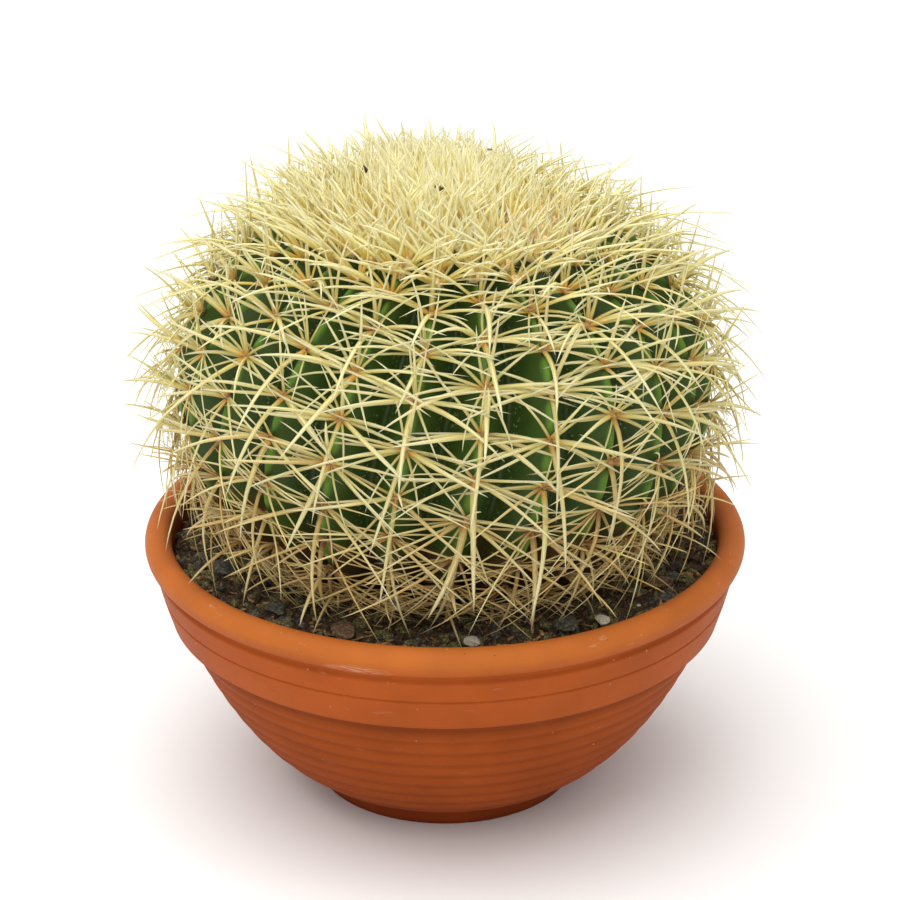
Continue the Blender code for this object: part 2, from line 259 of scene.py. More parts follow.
@dataclass
class Recipe(NodeWork):
    """A material in the making, whose tones and relief are worked out step by step."""

    material: bpy.types.Material = field(init=False)

    def __post_init__(self) -> None:
        """Make the node material."""
        self.material = bpy.data.materials.new(self.name)
        self.material.use_nodes = True
        self.tree = self.material.node_tree

    def place(self) -> Socket:
        """Where a point is on the object, by which every pattern is laid out."""
        return self.node("ShaderNodeTexCoord").outputs["Object"]

    def stored(self, name: str) -> Socket:
        """A number that the mesh stores at its points."""
        return self.node("ShaderNodeAttribute", attribute_name=name).outputs["Fac"]

    def span(self, value: Socket, low: float, high: float, start: float, end: float) -> Socket:
        """Carry a value over from low and high to start and end, and hold it there outside them."""
        return self.node("ShaderNodeMapRange", {0: value, 1: low, 2: high, 3: start, 4: end}).outputs[0]

    def noise(self, place: Socket, scale: float, detail: float = 2.0, roughness: float = 0.5) -> Socket:
        """A cloudy pattern around 0.5."""
        inputs = {"Vector": place, "Scale": scale, "Detail": detail, "Roughness": roughness}
        return self.node("ShaderNodeTexNoise", inputs).outputs[0]

    def combine(self, *parts: Socket) -> Socket:
        """A place made up of up to three numbers."""
        return self.node("ShaderNodeCombineXYZ", dict(enumerate(parts))).outputs[0]

    def mix(self, share: Socket, first: Socket, second: Socket | str) -> Socket:
        """The first colour, gone over to the second by a share."""
        other = linear(second) if isinstance(second, str) else second
        return self.node("ShaderNodeMix", {0: share, 6: first, 7: other}, data_type="RGBA").outputs[2]

    def ramp(self, share: Socket, stops: list[tuple[float, str]]) -> Socket:
        """A colour by its share along stops, each a place from 0 to 1 and an sRGB hex colour."""
        made = self.node("ShaderNodeValToRGB", {0: share})
        elements = made.color_ramp.elements
        while len(elements) < len(stops):
            elements.new(0.5)
        for element, (place, code) in zip(elements, stops):
            element.position = place
            element.color = linear(code)
        return made.outputs[0]

    def tone(self, colour: Socket | tuple, value: Socket) -> Socket:
        """A colour made darker or lighter."""
        return self.node("ShaderNodeHueSaturation", {"Color": colour, "Value": value}).outputs[0]

    def bump(self, height: Socket, strength: float, distance: float) -> Socket:
        """Relief that only the light sees."""
        inputs = {"Strength": strength, "Distance": distance, "Height": height}
        return self.node("ShaderNodeBump", inputs).outputs[0]

    def end(self, inputs: dict) -> bpy.types.Material:
        """Give the surface shader its inputs, and return the finished material."""
        set_inputs(self.tree, self.tree.nodes["Principled BSDF"], inputs)
        return self.material


@dataclass
class NodeTool(NodeWork):
    """A Geometry Nodes tree with named inputs, which is run on a mesh and leaves a plain mesh."""

    source: bpy.types.Node = field(init=False)
    result: bpy.types.Node = field(init=False)
    sockets: dict = field(init=False, default_factory=dict)

    def __post_init__(self) -> None:
        """Make the tree with its geometry sockets."""
        self.tree = bpy.data.node_groups.new(self.name, "GeometryNodeTree")
        for way in ("INPUT", "OUTPUT"):
            self.tree.interface.new_socket("Geometry", in_out=way, socket_type="NodeSocketGeometry")
        self.source = self.tree.nodes.new("NodeGroupInput")
        self.result = self.tree.nodes.new("NodeGroupOutput")

    def add_input(self, name: str, kind: str) -> Socket:
        """Add a named input, of a kind such as Float, and return the socket that gives its value."""
        made = self.tree.interface.new_socket(name, in_out="INPUT", socket_type=f"NodeSocket{kind}")
        self.sockets[name] = made.identifier
        return self.source.outputs[name]

    def attribute(self, name: str, kind: str = "FLOAT_VECTOR") -> Socket:
        """Read a named attribute."""
        return self.node("GeometryNodeInputNamedAttribute", {"Name": name}, data_type=kind).outputs[0]

    def mark(self, geometry: Socket, name: str, value: Socket) -> Socket:
        """Store a number at each point of a geometry."""
        inputs = {"Geometry": geometry, "Name": name, "Value": value}
        settings = {"data_type": "FLOAT", "domain": "POINT"}
        return self.node("GeometryNodeStoreNamedAttribute", inputs, **settings).outputs[0]

    def vary(self, low: Socket | tuple, high: Socket | tuple, seed: Socket) -> Socket:
        """A random vector between two others."""
        inputs = {0: low, 1: high, "Seed": seed}
        return self.node("FunctionNodeRandomValue", inputs, data_type="FLOAT_VECTOR").outputs[0]

    def scaled(self, vector: Socket, scale: Socket | float) -> Socket:
        """A vector made longer or shorter."""
        return self.node("ShaderNodeVectorMath", {0: vector, "Scale": scale}, operation="SCALE").outputs[0]

    def instances(self, points: Socket, shape: Socket, rotation: Socket, scale: Socket) -> Socket:
        """Set a copy of a shape on each point."""
        inputs = {"Points": points, "Instance": shape, "Rotation": rotation, "Scale": scale}
        return self.node("GeometryNodeInstanceOnPoints", inputs).outputs[0]

    def stand(self, shape: Socket) -> Socket:
        """Set real copies of a shape on the source's points, each along its aim and at its size."""
        turned = self.node(
            "FunctionNodeAxesToRotation",
            {0: self.attribute("aim"), 1: self.attribute("flat")},
            primary_axis="Z",
            secondary_axis="Y",
        ).outputs[0]
        placed = self.instances(self.source.outputs["Geometry"], shape, turned, self.attribute("size"))
        return self.real(placed)

    def real(self, geometry: Socket) -> Socket:
        """Turn instances into real geometry."""
        return self.node("GeometryNodeRealizeInstances", {"Geometry": geometry}).outputs[0]

    def moved(self, geometry: Socket, offset: Socket) -> Socket:
        """Move each point of a geometry."""
        return self.node("GeometryNodeSetPosition", {"Geometry": geometry, "Offset": offset}).outputs[0]

    def roughened(self, geometry: Socket, pattern: Socket, amount: Socket | float) -> Socket:
        """Move each point by a colourful pattern, taken around its middle grey."""
        middle = {0: pattern, 1: (0.5, 0.5, 0.5)}
        centred = self.node("ShaderNodeVectorMath", middle, operation="SUBTRACT").outputs[0]
        return self.moved(geometry, self.scaled(centred, amount))

    def end(self, geometry: Socket, material: Socket) -> None:
        """Realize the instances, shade them smooth, set the material and send the result out."""
        smooth = self.node("GeometryNodeSetShadeSmooth", {"Geometry": self.real(geometry)}).outputs[0]
        dressed = self.node("GeometryNodeSetMaterial", {"Geometry": smooth, "Material": material})
        self.tree.links.new(dressed.outputs[0], self.result.inputs[0])

    def run(self, item: bpy.types.Object, values: dict) -> bpy.types.Object:
        """Run the tree on an object, which then holds the plain mesh that comes out.

        Args:
            item: the object whose mesh goes in.
            values: input name to value.

        Returns:
            The same object with its new mesh.
        """
        modifier = item.modifiers.new(self.name, "NODES")
        modifier.node_group = self.tree
        for name, value in values.items():
            modifier[self.sockets[name]] = value
        view = bpy.context.evaluated_depsgraph_get()
        view.update()
        made = bpy.data.meshes.new_from_object(item.evaluated_get(view), depsgraph=view)
        item.modifiers.clear()
        item.data = made
        return item


# ---------------------------------------------------------------- finishes


@dataclass(frozen=True)
class TerracottaFinish:
    """Unglazed red earthenware, thrown and baked in a kiln: matt, sandy, with lime bloom where water dried.

    The colour is painted darker at the foot and in the hollow under the step than on the belly, as painted
    shade, and lighter on the bead, as painted light from above.
    """

    # Tones by height that carry painted light: painted shade at the foot and under the step, painted light on
    # the bead.
    foot: str = "#7a3313"
    belly_low: str = "#8b3f16"
    belly: str = "#944519"
    painted_shade_under_step: str = "#7a3712"
    collar: str = "#a14b16"
    bead: str = "#b16026"
    bloom: str = "#d8bda4"
    pit: str = "#5a2513"
    grain: float = 0.9 * MM
    mottle: float = 32.0 * MM
    streak: float = 1.6 * MM
    ring_pitch: float = 8.0 * MM
    ring_top: float = 81.0 * MM
    bead_top: float = 128.0 * MM
    rubbed_middle: Point = (-38.0 * MM, 116.8 * MM)
    rubbed_half: Point = (17.0 * MM, 3.8 * MM)

    def make(self) -> bpy.types.Material:
        """Build the material: a coarse sandy body with faint turning lines and pale bloom.

        Returns:
            The finished material.
        """
        recipe = Recipe("terracotta_earthenware")
        place = recipe.place()
        height = recipe.node("ShaderNodeSeparateXYZ", {0: place}).outputs["Z"]
        # Painted light by height: painted shade low at the foot and under the step, painted light on the
        # bead.
        stops = [
            (0.0, self.foot),
            (0.062, self.foot),
            (0.085, self.belly_low),
            (0.58, self.belly),
            (0.655, self.painted_shade_under_step),
            (0.667, self.collar),
            (0.90, self.collar),
            (0.955, self.bead),
            (1.0, self.bead),
        ]
        fired_and_painted_light_tones = recipe.ramp(recipe.math("MULTIPLY", height, 1.0 / self.bead_top), stops)
        mottled = recipe.span(recipe.noise(place, 1.0 / self.mottle), 0.3, 0.7, 0.90, 1.10)
        toned = recipe.tone(fired_and_painted_light_tones, recipe.math("MULTIPLY", mottled, self._ring_shade(recipe, height)))
        grains = recipe.node("ShaderNodeTexVoronoi", {"Vector": place, "Scale": 1.0 / (self.grain * 2.4)})
        chance = recipe.node("ShaderNodeSeparateColor", {0: grains.outputs["Color"]})
        near = recipe.span(grains.outputs["Distance"], 0.06, 0.22, 0.8, 0.0)
        pits, flecks = (
            recipe.math("MULTIPLY", near, recipe.math("GREATER_THAN", chance.outputs[index], above))
            for index, above in enumerate((0.975, 0.986))
        )
        flecked = recipe.mix(flecks, recipe.mix(pits, toned, self.pit), self.bloom)
        drawn = recipe.node("ShaderNodeMapping", {0: place, 3: (6.0, 6.0, 1.0 / self.streak)}).outputs[0]
        sand = recipe.noise(place, 1.0 / self.grain, 4.0, 0.7)
        sandy = recipe.math("MULTIPLY_ADD", recipe.noise(drawn, 1.0, 3.0), 0.9, sand)
        return recipe.end(
            {
                "Base Color": recipe.mix(self._bloom(recipe, place, height), flecked, self.bloom),
                "Roughness": recipe.span(sand, 0.3, 0.7, 0.50, 0.66),
                "Normal": recipe.bump(recipe.math("SUBTRACT", sandy, pits), 0.22, 0.35 * MM),
                "Specular IOR Level": recipe.span(height, 83.0 * MM, 88.0 * MM, 0.04, 0.12),
            }
        )

    def _ring_shade(self, recipe: Recipe, height: Socket) -> Socket:
        """Painted shade: a darker tone in the hollows between the throwing rings of the belly."""
        pitch = 2.0 * math.pi / self.ring_pitch
        wave = recipe.math("COSINE", recipe.math("MULTIPLY_ADD", height, pitch, -pitch * self.ring_top))
        shade = recipe.span(wave, 0.1, 1.0, 1.03, 0.87)
        above = recipe.span(height, 82.0 * MM, 86.0 * MM, 0.0, 1.0)
        return recipe.node("ShaderNodeMix", {0: above, 2: shade, 3: 1.0}, data_type="FLOAT").outputs[0]

    def _bloom(self, recipe: Recipe, place: Socket, height: Socket) -> Socket:
        """Pale lime scuffs, drawn out sideways, mostly on the lower half of the rim bead."""
        split = recipe.node("ShaderNodeSeparateXYZ", {0: place})
        across, depth = split.outputs[0], split.outputs[1]
        around = recipe.math("MULTIPLY", recipe.math("ARCTAN2", depth, across), 7.0)
        drawn = recipe.combine(around, recipe.math("MULTIPLY", height, 210.0))
        patchy = recipe.span(recipe.noise(drawn, 1.0, 9.0, 0.72), 0.61, 0.76, 0.0, 0.6)
        low = recipe.span(height, 106.0 * MM, 114.0 * MM, 0.25, 1.0)
        rubbed = self._scratches(recipe, across, depth, height)
        return recipe.math("MAXIMUM", recipe.math("MULTIPLY", patchy, low), rubbed)

    def _scratches(self, recipe: Recipe, across: Socket, depth: Socket, height: Socket) -> Socket:
        """The one larger rubbed place, low on the front of the rim bead: fine pale scratches along it."""
        squares = []
        for value, middle, half in zip((across, height), self.rubbed_middle, self.rubbed_half):
            away = recipe.math("MULTIPLY_ADD", value, 1.0 / half, -middle / half)
            squares.append(recipe.math("MULTIPLY", away, away))
        within = recipe.span(recipe.math("ADD", *squares), 0.1, 1.0, 1.0, 0.0)
        front = recipe.math("LESS_THAN", depth, -100.0 * MM)
        slant = recipe.math("MULTIPLY_ADD", across, 0.05, height)
        drawn = recipe.combine(recipe.math("MULTIPLY", across, 170.0), recipe.math("MULTIPLY", slant, 1500.0))
        seen = recipe.span(recipe.noise(drawn, 1.0, 5.0, 0.7), 0.46, 0.66, 0.0, 0.62)
        return recipe.math("MULTIPLY", recipe.math("MULTIPLY", seen, within), front)


@dataclass(frozen=True)
class SkinFinish:
    """The living skin of a barrel cactus: satin, with painted shade in the furrows and a painted highlight
    along the crests.

    Fine pale pores run in lines along the flanks, and the old skin near the soil has gone to cork.
    """

    # The furrow colour is painted shade and the crest colour a painted highlight.
    furrow: str = "#2b3f11"
    flank: str = "#395218"
    crest: str = "#6c962e"
    cork: str = "#5c442a"
    dust: str = "#8f9a72"
    pore: str = "#a7b184"

    def make(self) -> bpy.types.Material:
        """Build the material from the ridge, age and pore_line attributes of the stem.

        Returns:
            The finished material.
        """
        recipe = Recipe("cactus_skin")
        place = recipe.place()
        painted_crest_light, age, pores = (recipe.stored(name) for name in ("painted_crest_light", "age", "pore_line"))
        mottled = recipe.math("MULTIPLY_ADD", recipe.noise(place, 120.0, 4.0), 0.22, painted_crest_light)
        # Painted shade in the furrows, painted highlight on the crests.
        stops = [(0.0, self.furrow), (0.45, self.flank), (0.78, self.flank), (1.0, self.crest)]
        green = recipe.ramp(recipe.math("SUBTRACT", mottled, 0.11), stops)
        fine = recipe.noise(place, 420.0, 5.0, 0.75)
        dusted = recipe.mix(recipe.span(fine, 0.60, 0.80, 0.0, 0.30), green, self.dust)
        dots = recipe.node("ShaderNodeTexVoronoi", {"Vector": place, "Scale": 620.0}).outputs["Distance"]
        pored = recipe.math("MULTIPLY", recipe.span(dots, 0.18, 0.34, 0.75, 0.0), pores)
        dotted = recipe.mix(pored, dusted, self.pore)
        corked = recipe.math("MULTIPLY", age, recipe.noise(place, 75.0, 6.0))
        return recipe.end(
            {
                "Base Color": recipe.mix(recipe.span(corked, 0.20, 0.35, 0.0, 0.94), dotted, self.cork),
                "Roughness": recipe.span(fine, 0.3, 0.7, 0.36, 0.52),
                "Normal": recipe.bump(fine, 0.25, 0.3 * MM),
                "Specular IOR Level": 0.3,
            }
        )


@dataclass(frozen=True)
class SpineFinish:
    """Horny spine: amber where it leaves the felt, straw to cream along its length, tan when old.

    Each age has the colours of the base, the body and the tip. The horn lets some light through, and the
    spines also shine a little by themselves as painted light, the young ones most.
    """

    young: tuple[str, str, str] = ("#ecb02c", "#ecdc86", "#f0e7b2")
    grown: tuple[str, str, str] = ("#cf9e4a", "#cebf74", "#d8cd98")
    old: tuple[str, str, str] = ("#6f4a26", "#a8864f", "#c2a46a")
    # The young spines' amber base reaches furthest: partly their own colour, partly painted light for light
    # scattered deep in the crown.
    base_reach: tuple[float, float, float] = (0.34, 0.12, 0.16)

    def make(self) -> bpy.types.Material:
        """Build the material from the along, age, chance and side attributes of the spines.

        Returns:
            The finished material.
        """
        recipe = Recipe("spine_horn")
        along, age, chance, side = (recipe.stored(name) for name in ("along", "age", "chance", "side"))
        colours = []
        for (base, body, tip), reach in zip((self.young, self.grown, self.old), self.base_reach):
            stops = [(0.0, base), (reach * 0.25, base), (reach, body), (0.7, tip), (1.0, tip)]
            colours.append(recipe.ramp(along, stops))
        aged = recipe.math("MULTIPLY_ADD", chance, 0.30, age)
        is_grown = recipe.span(aged, 0.22, 0.50, 0.0, 1.0)
        is_old = recipe.span(aged, 0.76, 1.08, 0.0, 1.0)
        colour = recipe.mix(is_old, recipe.mix(is_grown, colours[0], colours[1]), colours[2])
        stretched = [
            recipe.math("MULTIPLY", value, scale)
            for value, scale in ((side, 22.0), (along, 3.0), (chance, 90.0))
        ]
        fibre = recipe.noise(recipe.combine(*stretched), 1.0)
        own = recipe.span(chance, 0.0, 1.0, 0.88, 1.02)
        bright = recipe.math("MULTIPLY", recipe.span(fibre, 0.3, 0.7, 0.86, 1.10), own)
        final = recipe.tone(colour, bright)
        return recipe.end(
            {
                "Base Color": final,
                "Normal": recipe.bump(fibre, 0.3, 0.15 * MM),
                "Roughness": 0.48,
                "Specular IOR Level": 0.3,
                # Painted light: the spine shines faintly in its own colour, more while young, standing in for
                # light passed through the horn.
                "Emission Color": final,
                "Emission Strength": recipe.span(is_grown, 0.0, 1.0, 0.15, 0.06),
                "Subsurface Weight": 0.55,
                "Subsurface Radius": (1.0, 0.8, 0.4),
                "Subsurface Scale": 3.0 * MM,
            }
        )


@dataclass(frozen=True)
class FibreFinish:
    """Felt or wool of fine hairs: soft, with a pale sheen where it is seen edge on, and shining a little as
    painted light where a strength is given.
    """

    name: str
    dark: str
    light: str
    sheen: float = 0.35
    # Painted light: the hairs shine by themselves in their own colour, for light scattered in them.
    painted_glow: float = 0.0
    clump: float = 1.4 * MM

    def make(self) -> bpy.types.Material:
        """Build the material: two tones in small clumps, shining evenly as painted light by the given
        strength.
        """
        recipe = Recipe(self.name)
        clumps = recipe.noise(recipe.place(), 1.0 / self.clump, 4.0)
        colour = recipe.ramp(clumps, [(0.36, self.dark), (0.62, self.light)])
        return recipe.end(
            {
                "Base Color": colour,
                "Normal": recipe.bump(clumps, 0.6, 0.4 * MM),
                "Roughness": 0.95,
                "Sheen Weight": self.sheen,
                "Emission Color": colour,
                "Emission Strength": self.painted_glow,
            }
        )


@dataclass(frozen=True)
class GroundFinish:
    """A natural broken material such as compost, stone, bark or perlite, in three tones."""

    name: str
    dark: str
    middle: str
    light: str
    grain_mm: float = 1.5
    roughness: float = 0.9
    bump_mm: float = 0.5

    def make(self) -> bpy.types.Material:
        """Build the material: tones in grains of the given size over a rough relief."""
        recipe = Recipe(self.name)
        grains = recipe.noise(recipe.place(), 1.0 / (self.grain_mm * MM), 6.0, 0.7)
        stops = [(0.34, self.dark), (0.52, self.middle), (0.70, self.light)]
        return recipe.end(
            {
                "Base Color": recipe.ramp(grains, stops),
                "Normal": recipe.bump(grains, 0.7, self.bump_mm * MM),
                "Roughness": self.roughness,
            }
        )


# ---------------------------------------------------------------- the bowl


@dataclass
class TerracottaBowl:
    """The thrown bowl: foot, belly with throwing rings, collar, neck and rolled rim bead."""

    finish: TerracottaFinish = TerracottaFinish()
    columns: int = 288
    wall: float = 8.5 * MM
    floor: float = 10.0 * MM
    drain: float = 11.0 * MM
    ring_depth: float = 0.8 * MM
    ring_pitch: float = 8.0 * MM
    ring_top: float = 81.0 * MM
    bead_centre: Point = (133.7 * MM, 121.3 * MM)
    bead_half: Point = (6.3 * MM, 6.7 * MM)
    line_place: float = 0.565
    line_width: float = 0.022
    line_depth: float = 0.85 * MM
    collar_swell: float = 0.35 * MM
    unevenness: float = 0.22 * MM

    @staticmethod
    def _curve(start: Point, control: Point, end: Point, steps: int) -> list[Point]:
        """Points on the quadratic curve from start to end, bent towards control."""
        points = []
        for step in range(steps + 1):
            share = step / steps
            first, middle, last = (1 - share) ** 2, 2 * share * (1 - share), share**2
            points.append(tuple(first * a + middle * b + last * c for a, b, c in zip(start, control, end)))
        return points

    def _belly(self, steps: int) -> list[Point]:
        """The belly's curve from the foot to the step under the collar."""
        low, control, top = (67.2 * MM, 9.8 * MM), (99.8 * MM, 26.8 * MM), (124.2 * MM, 84.8 * MM)
        return self._curve(low, control, top, steps)

    def _ringed_belly(self) -> list[Point]:
        """The belly with its soft throwing rings, which fade out towards the step."""
        points = []
        for radius, height in self._belly(110):
            upper = min(1.0, (86.0 * MM - height) / (8.0 * MM))
            lower = min(1.0, (height - 9.0 * MM) / (12.0 * MM))
            wave = 0.5 + 0.5 * math.cos(2 * math.pi * (height - self.ring_top) / self.ring_pitch)
            points.append((radius - self.ring_depth * upper * lower * wave**1.3, height))
        return points

    def _collar(self) -> list[Point]:
        """The collar from its rounded lower edge, over its thin line, to the neck under the bead."""
        low, top = (129.3 * MM, 88.4 * MM), (135.4 * MM, 110.6 * MM)
        points = [(124.9 * MM, 85.0 * MM), (127.6 * MM, 85.6 * MM), (128.8 * MM, 86.6 * MM)]
        steps = 60
        for step in range(steps + 1):
            share = step / steps
            radius = low[0] + (top[0] - low[0]) * share
            height = low[1] + (top[1] - low[1]) * share
            line = math.exp(-(((share - self.line_place) / self.line_width) ** 2)) * self.line_depth
            swell = math.sin(math.pi * share) * self.collar_swell
            points.append((radius + swell - line, height))
        points += [(135.3 * MM, 111.3 * MM), (134.7 * MM, 112.0 * MM), (134.2 * MM, 112.9 * MM)]
        points += [(134.3 * MM, 113.8 * MM), (135.3 * MM, 114.7 * MM)]
        return points

    def _bead(self) -> list[Point]:
        """The rolled rim, from its lower outside over the top to its inside."""
        points = []
        steps = 30
        for step in range(steps + 1):
            angle = math.radians(-66.0 + 266.0 * step / steps)
            radius = self.bead_centre[0] + self.bead_half[0] * math.cos(angle)
            points.append((radius, self.bead_centre[1] + self.bead_half[1] * math.sin(angle)))
        return points

    def inside(self) -> list[Point]:
        """The inside wall and floor, down to the drainage hole."""
        points = [(135.6 * MM - self.wall, 108.8 * MM)]
        for radius, height in reversed(self._belly(12)):
            if height > self.floor + self.wall / 2:
                points.append((radius - self.wall, height + self.wall * 0.12))
        points += [(59.5 * MM, self.floor + 1.2 * MM), (52.7 * MM, self.floor)]
        points += [(self.drain + 1.2 * MM, self.floor), (self.drain, self.floor - 1.0 * MM)]
        return points

    def outline(self) -> list[Point]:
        """The whole closed outline, starting at the drainage hole's lower edge."""
        points = [(self.drain, 0.8 * MM), (self.drain + 0.8 * MM, 0.0)]
        points += [(59.6 * MM, 0.0), (60.6 * MM, 0.2 * MM)]
        points += [(61.2 * MM, 0.9 * MM), (61.9 * MM, 4.0 * MM), (62.6 * MM, 7.2 * MM), (63.6 * MM, 8.6 * MM)]
        return points + self._ringed_belly() + self._collar() + self._bead() + self.inside()

    def build(self) -> bpy.types.Object:
        """Turn the outline round the axis, a little uneven as a thrown bowl is.

        Returns:
            The bowl.
        """
        outline = self.outline()
        angles = np.linspace(0.0, 2.0 * math.pi, self.columns, endpoint=False)
        points = []
        for radius, height in outline:
            for angle in angles:
                lumpy = noise.noise(Vector((math.cos(angle) * 1.3, math.sin(angle) * 1.3, height * 22.0)))
                real = radius + lumpy * self.unevenness * min(1.0, height / (9.0 * MM))
                points.append((real * math.cos(angle), real * math.sin(angle), height))
        faces = lathe_faces(len(outline), self.columns, closed=True)
        item = mesh_object("thrown_bowl", np.array(points), faces, self.finish.make())
        face_outwards(item)
        return finish_piece(item, "terracotta", "terracotta_bowl")


# ---------------------------------------------------------------- the plant


@dataclass
class Crest:
    """The crest line of a rib: two half ovals that meet at the widest ring, with a slight twist."""

    ribs: int = 24
    radius: float = 122.6 * MM
    widest: float = 198.5 * MM
    rise: float = 84.0 * MM
    rise_power: float = 2.4
    drop: float = 100.8 * MM
    dip: float = 4.0 * MM
    dip_radius: float = 40.0 * MM
    twist: float = 1.46
    first: float = math.radians(-84.4)
    nearby: float = 0.003

    def point(self, share: float) -> Point:
        """Radius and height of the crest: share runs from -1 at the base to +1 at the crown."""
        angle = abs(share) * math.pi / 2
        radius = self.radius * math.cos(angle)
        if share < 0:
            return radius, self.widest - self.drop * math.sin(angle)
        height = self.widest + self.rise * math.sin(angle) ** (2.0 / self.rise_power)
        if radius < self.dip_radius:
            height -= self.dip * (1.0 - (radius / self.dip_radius) ** 2) ** 2
        return radius, height

    def radius_at(self, height: float) -> float:
        """Radius of the crest at a height under the widest ring."""
        drop = min((self.widest - height) / self.drop, 1.0)
        return self.radius * math.sqrt(max(1.0 - drop**2, 0.0))

    def turn(self, height: float) -> float:
        """How far the ribs have turned at a height."""
        return self.twist * (height - self.widest)

    def azimuth(self, rib: int) -> float:
        """The azimuth of a rib at the widest ring."""
        return self.first + rib * 2.0 * math.pi / self.ribs

    def place(self, share: float, azimuth: float) -> Vector:
        """The crest point in space."""
        radius, height = self.point(share)
        angle = azimuth + self.turn(height)
        return Vector((radius * math.cos(angle), radius * math.sin(angle), height))

    def frame(self, share: float, azimuth: float) -> tuple[Vector, Vector, Vector, Vector]:
        """Take the directions at a point of the crest.

        Args:
            share: where along the crest.
            azimuth: the rib's azimuth.

        Returns:
            The point, its outward normal, its downward tangent and its side direction.
        """
        here = self.place(share, azimuth)
        lower, upper = self.place(share - self.nearby, azimuth), self.place(share + self.nearby, azimuth)
        down = (lower - upper).normalized()
        angle = azimuth + self.turn(here.z)
        side = Vector((-math.sin(angle), math.cos(angle), 0.0))
        side = (side - down * side.dot(down)).normalized()
        outward = down.cross(side)
        if outward.dot(Vector((here.x, here.y, (here.z - self.widest) * 1.5))) < 0:
            outward.negate()
        return here, outward, down, side


@dataclass
class Areole:
    """One felt cushion on a rib's crest, from which a cluster of spines grows."""

    rib: int
    share: float
    travelled: float
    here: Vector
    outward: Vector
    down: Vector
    side: Vector

    def grown(self) -> float:
        """0 for the newest at the crown, 1 once it is full size."""
        return eased(share_of(self.travelled, 26.0 * MM, 44.0 * MM))

    def fresh(self) -> float:
        """1 for areoles on the shoulder, whose spines still stand well out, falling to 0 below it."""
        return 1.0 - eased(share_of(self.travelled, 45.0 * MM, 75.0 * MM))

    def age(self) -> float:
        """0 at the crown, 1 at the soil."""
        return share_of(self.travelled, 0.0, 222.0 * MM)


@dataclass
class Cactus:
    """The plant: where its areoles are, and the pieces that they carry."""

    crest: Crest = field(default_factory=Crest)
    seed: int = 11
    first_spacing: float = 8.0 * MM
    crown_reach: float = 40.0 * MM
    opening_length: float = 22.0 * MM
    full_spacing: float = 21.0 * MM
    inner_radius: float = 13.0 * MM
    base_height: float = 119.0 * MM
    steps: int = 1600
    areoles: list[Areole] = field(default_factory=list)

    def __post_init__(self) -> None:
        """Lay the areoles out along every rib, alternately high and low."""
        draw = random.Random(self.seed)
        for rib in range(self.crest.ribs):
            self.areoles += self._rib_areoles(rib, draw)

    def _rib_areoles(self, rib: int, draw: random.Random) -> list[Areole]:
        """Set the areoles of one rib, close together at the crown and further apart below.

        Args:
            rib: the rib's number.
            draw: where the small differences in spacing come from.

        Returns:
            The areoles, from the crown to the soil.
        """
        azimuth = self.crest.azimuth(rib)
        start = math.acos(self.inner_radius / self.crest.radius) / (math.pi / 2)
        end = -math.asin((self.crest.widest - self.base_height) / self.crest.drop) / (math.pi / 2)
        found = []
        travelled = 0.0
        wanted = (0.15 + 0.5 * (rib % 2)) * self.first_spacing + draw.uniform(0.0, 1.6 * MM)
        previous = self.crest.place(start, azimuth)
        for step in range(1, self.steps + 1):
            share = start + (end - start) * step / self.steps
            here = self.crest.place(share, azimuth)
            travelled += (here - previous).length
            previous = here
            if travelled < wanted:
                continue
            found.append(Areole(rib, share, travelled, *self.crest.frame(share, azimuth)))
            opening = eased(share_of(travelled, self.crown_reach, self.opening_length))
            spacing = self.first_spacing + (self.full_spacing - self.first_spacing) * opening
            wanted = travelled + spacing * draw.uniform(0.92, 1.08)
        return found

    def of_rib(self, rib: int) -> list[Areole]:
        """The areoles of one rib."""
        return [areole for areole in self.areoles if areole.rib == rib]


